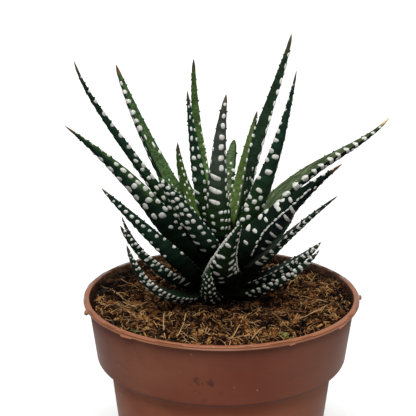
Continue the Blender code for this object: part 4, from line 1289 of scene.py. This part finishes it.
def make_fibres(material):
    """Coir fibres, lying in and over the soil, and a few long straws."""
    draw = random.Random(11)
    pile = Pile()
    for k in range(FIBRES):
        x, y = random_place(draw, 1.5)
        long = k % LONG_FIBRE_EVERY == 0
        length = draw.uniform(9.0, 18.0) if long else min(2.0 + 2.6 * draw.expovariate(1.0), 10.0)
        heading = draw.uniform(0, 2 * math.pi)
        curl = draw.uniform(-0.16, 0.16)
        lift = draw.uniform(0.1, 0.9)
        path = []
        for part in np.linspace(0.0, 1.0, FIBRE_POINTS):
            if math.hypot(x, y) < SOIL_RADIUS - 0.4:
                path.append((x, y, soil_top_height(x, y) + 0.25 + 4 * lift * part * (1 - part)))
            x += length / FIBRE_POINTS * math.cos(heading)
            y += length / FIBRE_POINTS * math.sin(heading)
            heading += curl
        if len(path) > 2:
            fibre = tube(path, draw.uniform(0.06, 0.13))
            pile.add(*fibre, soil_tint(path[1][0], path[1][1], draw.uniform(-0.1, 0.6)))
    for first, last, bend in STRAWS:
        for strand, radius in enumerate(STRAND_RADII):
            shift = np.array([draw.uniform(-0.9, 0.9), draw.uniform(-0.9, 0.9)]) * strand
            run = np.array(last, float) - shift - (np.array(first, float) + shift)
            side = np.array([-run[1], run[0]]) / np.linalg.norm(run)
            path = []
            for part in np.linspace(0.0, 1.0, STRAW_POINTS):
                x, y = first + shift + part * run + 1.4 * part * (1 - part) * bend * side
                if math.hypot(x, y) < SOIL_RADIUS - 0.3:
                    height = soil_top_height(x, y) * 0.15 + (soil_height(x, y) + 1.5) * 0.85 + 0.35
                    path.append((x, y, height))
            pale = 0.24 if strand == 0 and last[1] < -44 else 0.0
            pile.add(*tube(path, radius), draw.uniform(0.74, 0.92) + pale)
    pile.piece("soil_fibres", material)


def soil_material():
    material, nodes = new_material("coir_mix")
    place = nodes.coordinates()
    crumb = nodes.noise(place, 900.0, 4.0, 0.7, 0.4)
    strands = nodes.noise(nodes.stretched(place, (500.0, 2200.0, 900.0)), 1.0, 3.0, 0.6, 1.0)
    share = nodes.maths("ADD", nodes.attribute("tint"), nodes.ranged(crumb, 0.3, 0.7, -0.22, 0.22))
    colour = nodes.ramp(share, [(0.0, srgb(7, 4, 3)), (0.34, srgb(33, 19, 10)), (0.54, srgb(74, 45, 22)),
                                (0.76, srgb(118, 75, 40)), (1.0, srgb(176, 130, 78))])
    colour = nodes.mixed(nodes.ranged(strands, 0.6, 0.76, 0.0, 0.3), colour, srgb(140, 98, 58))
    set_shader(nodes, colour, 0.9, {"Specular IOR Level": 0.06}, [(crumb, 0.4, 0.8), (strands, 0.2, 0.6)])
    return material


def fibre_material():
    material, nodes = new_material("coir_fibre")
    place = nodes.coordinates()
    shade = nodes.ranged(nodes.noise(place, 160.0), 0.3, 0.7, -0.15, 0.15)
    colour = nodes.ramp(nodes.maths("ADD", nodes.attribute("tint"), shade),
                        [(0.0, srgb(20, 13, 8)), (0.45, srgb(84, 55, 32)), (0.8, srgb(146, 106, 64)),
                         (1.0, srgb(214, 172, 116))])
    set_shader(nodes, colour, 0.6, {}, [(nodes.noise(place, 2500.0, 2.0), 0.05, 0.5)])
    return material


def moss_material():
    material, nodes = new_material("moss")
    shade = nodes.noise(nodes.coordinates(), 700.0)
    colour = nodes.ramp(shade, [(0.3, srgb(46, 48, 16)), (0.5, srgb(104, 108, 36)),
                                (0.68, srgb(186, 188, 104))])
    set_shader(nodes, colour, 0.8, {}, [(shade, 0.1, 0.6)])
    return material


def crown_material():
    material, nodes = new_material("haworthia_stem")
    shade = nodes.noise(nodes.stretched(nodes.coordinates(), (260.0, 260.0, 700.0)), 1.0, 4.0)
    # The stem is painted near black: painted shade in the dark heart between the leaf bases
    colour = nodes.ramp(shade, [(0.3, srgb(9, 11, 7)), (0.55, srgb(17, 20, 11)), (0.75, srgb(34, 32, 20))])
    set_shader(nodes, colour, 0.9, {"Specular IOR Level": 0.0}, [(shade, 0.6, 0.8)])
    return material


# Stage

def make_floor():
    corners = [(FLOOR_HALF_SIZE * x, FLOOR_HALF_SIZE * y, -0.2)
               for x, y in ((-1, -1), (1, -1), (1, 1), (-1, 1))]
    floor = mesh_piece("floor", corners, [(0, 1, 2, 3)])
    material, nodes = new_material("studio_floor")
    shade = nodes.noise(nodes.coordinates(), 3.0, 2.0)
    colour = nodes.ramp(shade, [(0.3, srgb(250, 250, 249)), (0.7, srgb(253, 253, 252))])
    set_shader(nodes, colour, 0.9, {"Specular IOR Level": 0.1})
    floor.data.materials.append(material)
    floor.visible_diffuse = False
    floor.visible_glossy = False


def make_world():
    """Soft light from all round, dimmer below the horizon."""
    world = bpy.data.worlds.new("studio")
    world.use_nodes = True
    nodes = Nodes(world.node_tree)
    share = nodes.ranged(nodes.parts(nodes.coordinates("Generated"))["Z"], -0.35, 0.35, 0.0, 1.0)
    colour = nodes.ramp(share, [(0.0, (0.10, 0.10, 0.10, 1.0)), (0.55, (0.62, 0.62, 0.63, 1.0)),
                                (1.0, (0.40, 0.40, 0.41, 1.0))])
    background = world.node_tree.nodes["Background"]
    nodes.feed(background.inputs["Color"], colour)
    background.inputs["Strength"].default_value = 1.0
    bpy.context.scene.world = world


def make_sun():
    """One broad soft lamp from above and a little in front."""
    lamp = bpy.data.lights.new("top_light", "SUN")
    lamp.angle = math.radians(SUN_SPREAD)
    lamp.energy = SUN_POWER
    sun = bpy.data.objects.new("top_light", lamp)
    bpy.context.scene.collection.objects.link(sun)
    sun.rotation_euler = Vector(SUN_DIRECTION).to_track_quat("-Z", "Y").to_euler()


def make_camera():
    lens = bpy.data.cameras.new("camera")
    lens.lens = CAMERA_LENS
    lens.sensor_width = CAMERA_SENSOR
    lens.clip_start = 0.01
    lens.clip_end = 50.0
    camera = bpy.data.objects.new("camera", lens)
    bpy.context.scene.collection.objects.link(camera)
    camera.location = [value * MM for value in CAMERA_PLACE]
    camera.rotation_euler = (math.radians(90.0 - CAMERA_PITCH), 0.0, 0.0)
    bpy.context.scene.camera = camera


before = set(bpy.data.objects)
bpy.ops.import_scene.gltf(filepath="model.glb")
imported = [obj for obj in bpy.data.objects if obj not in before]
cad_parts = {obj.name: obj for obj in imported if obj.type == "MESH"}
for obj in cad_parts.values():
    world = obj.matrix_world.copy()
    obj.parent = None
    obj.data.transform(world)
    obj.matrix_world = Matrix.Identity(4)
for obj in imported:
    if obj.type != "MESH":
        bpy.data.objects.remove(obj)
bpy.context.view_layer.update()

make_camera()
make_floor()
make_world()
make_sun()
plastic = pot_material("terracotta_plastic", PLASTIC_TINTS, PLASTIC_SHEEN, PLASTIC_SPECULAR)
make_pot(plastic, pot_material("dirt_and_shade_plastic", PLASTIC_TINTS, 0.0, 0.05))
make_nubs(plastic)
make_slivers(pot_material("flash_plastic", FLASH_TINTS, PLASTIC_SHEEN, PLASTIC_SPECULAR))
coir = soil_material()
make_soil_top(coir)
make_chips(coir)
make_crumbs(coir)
make_fibres(fibre_material())
make_moss(moss_material())
for node, material in (("soil", coir), ("crown", crown_material())):
    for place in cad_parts[node].material_slots:
        place.material = material
make_leaves()
bpy.context.scene.view_settings.view_transform = "Standard"
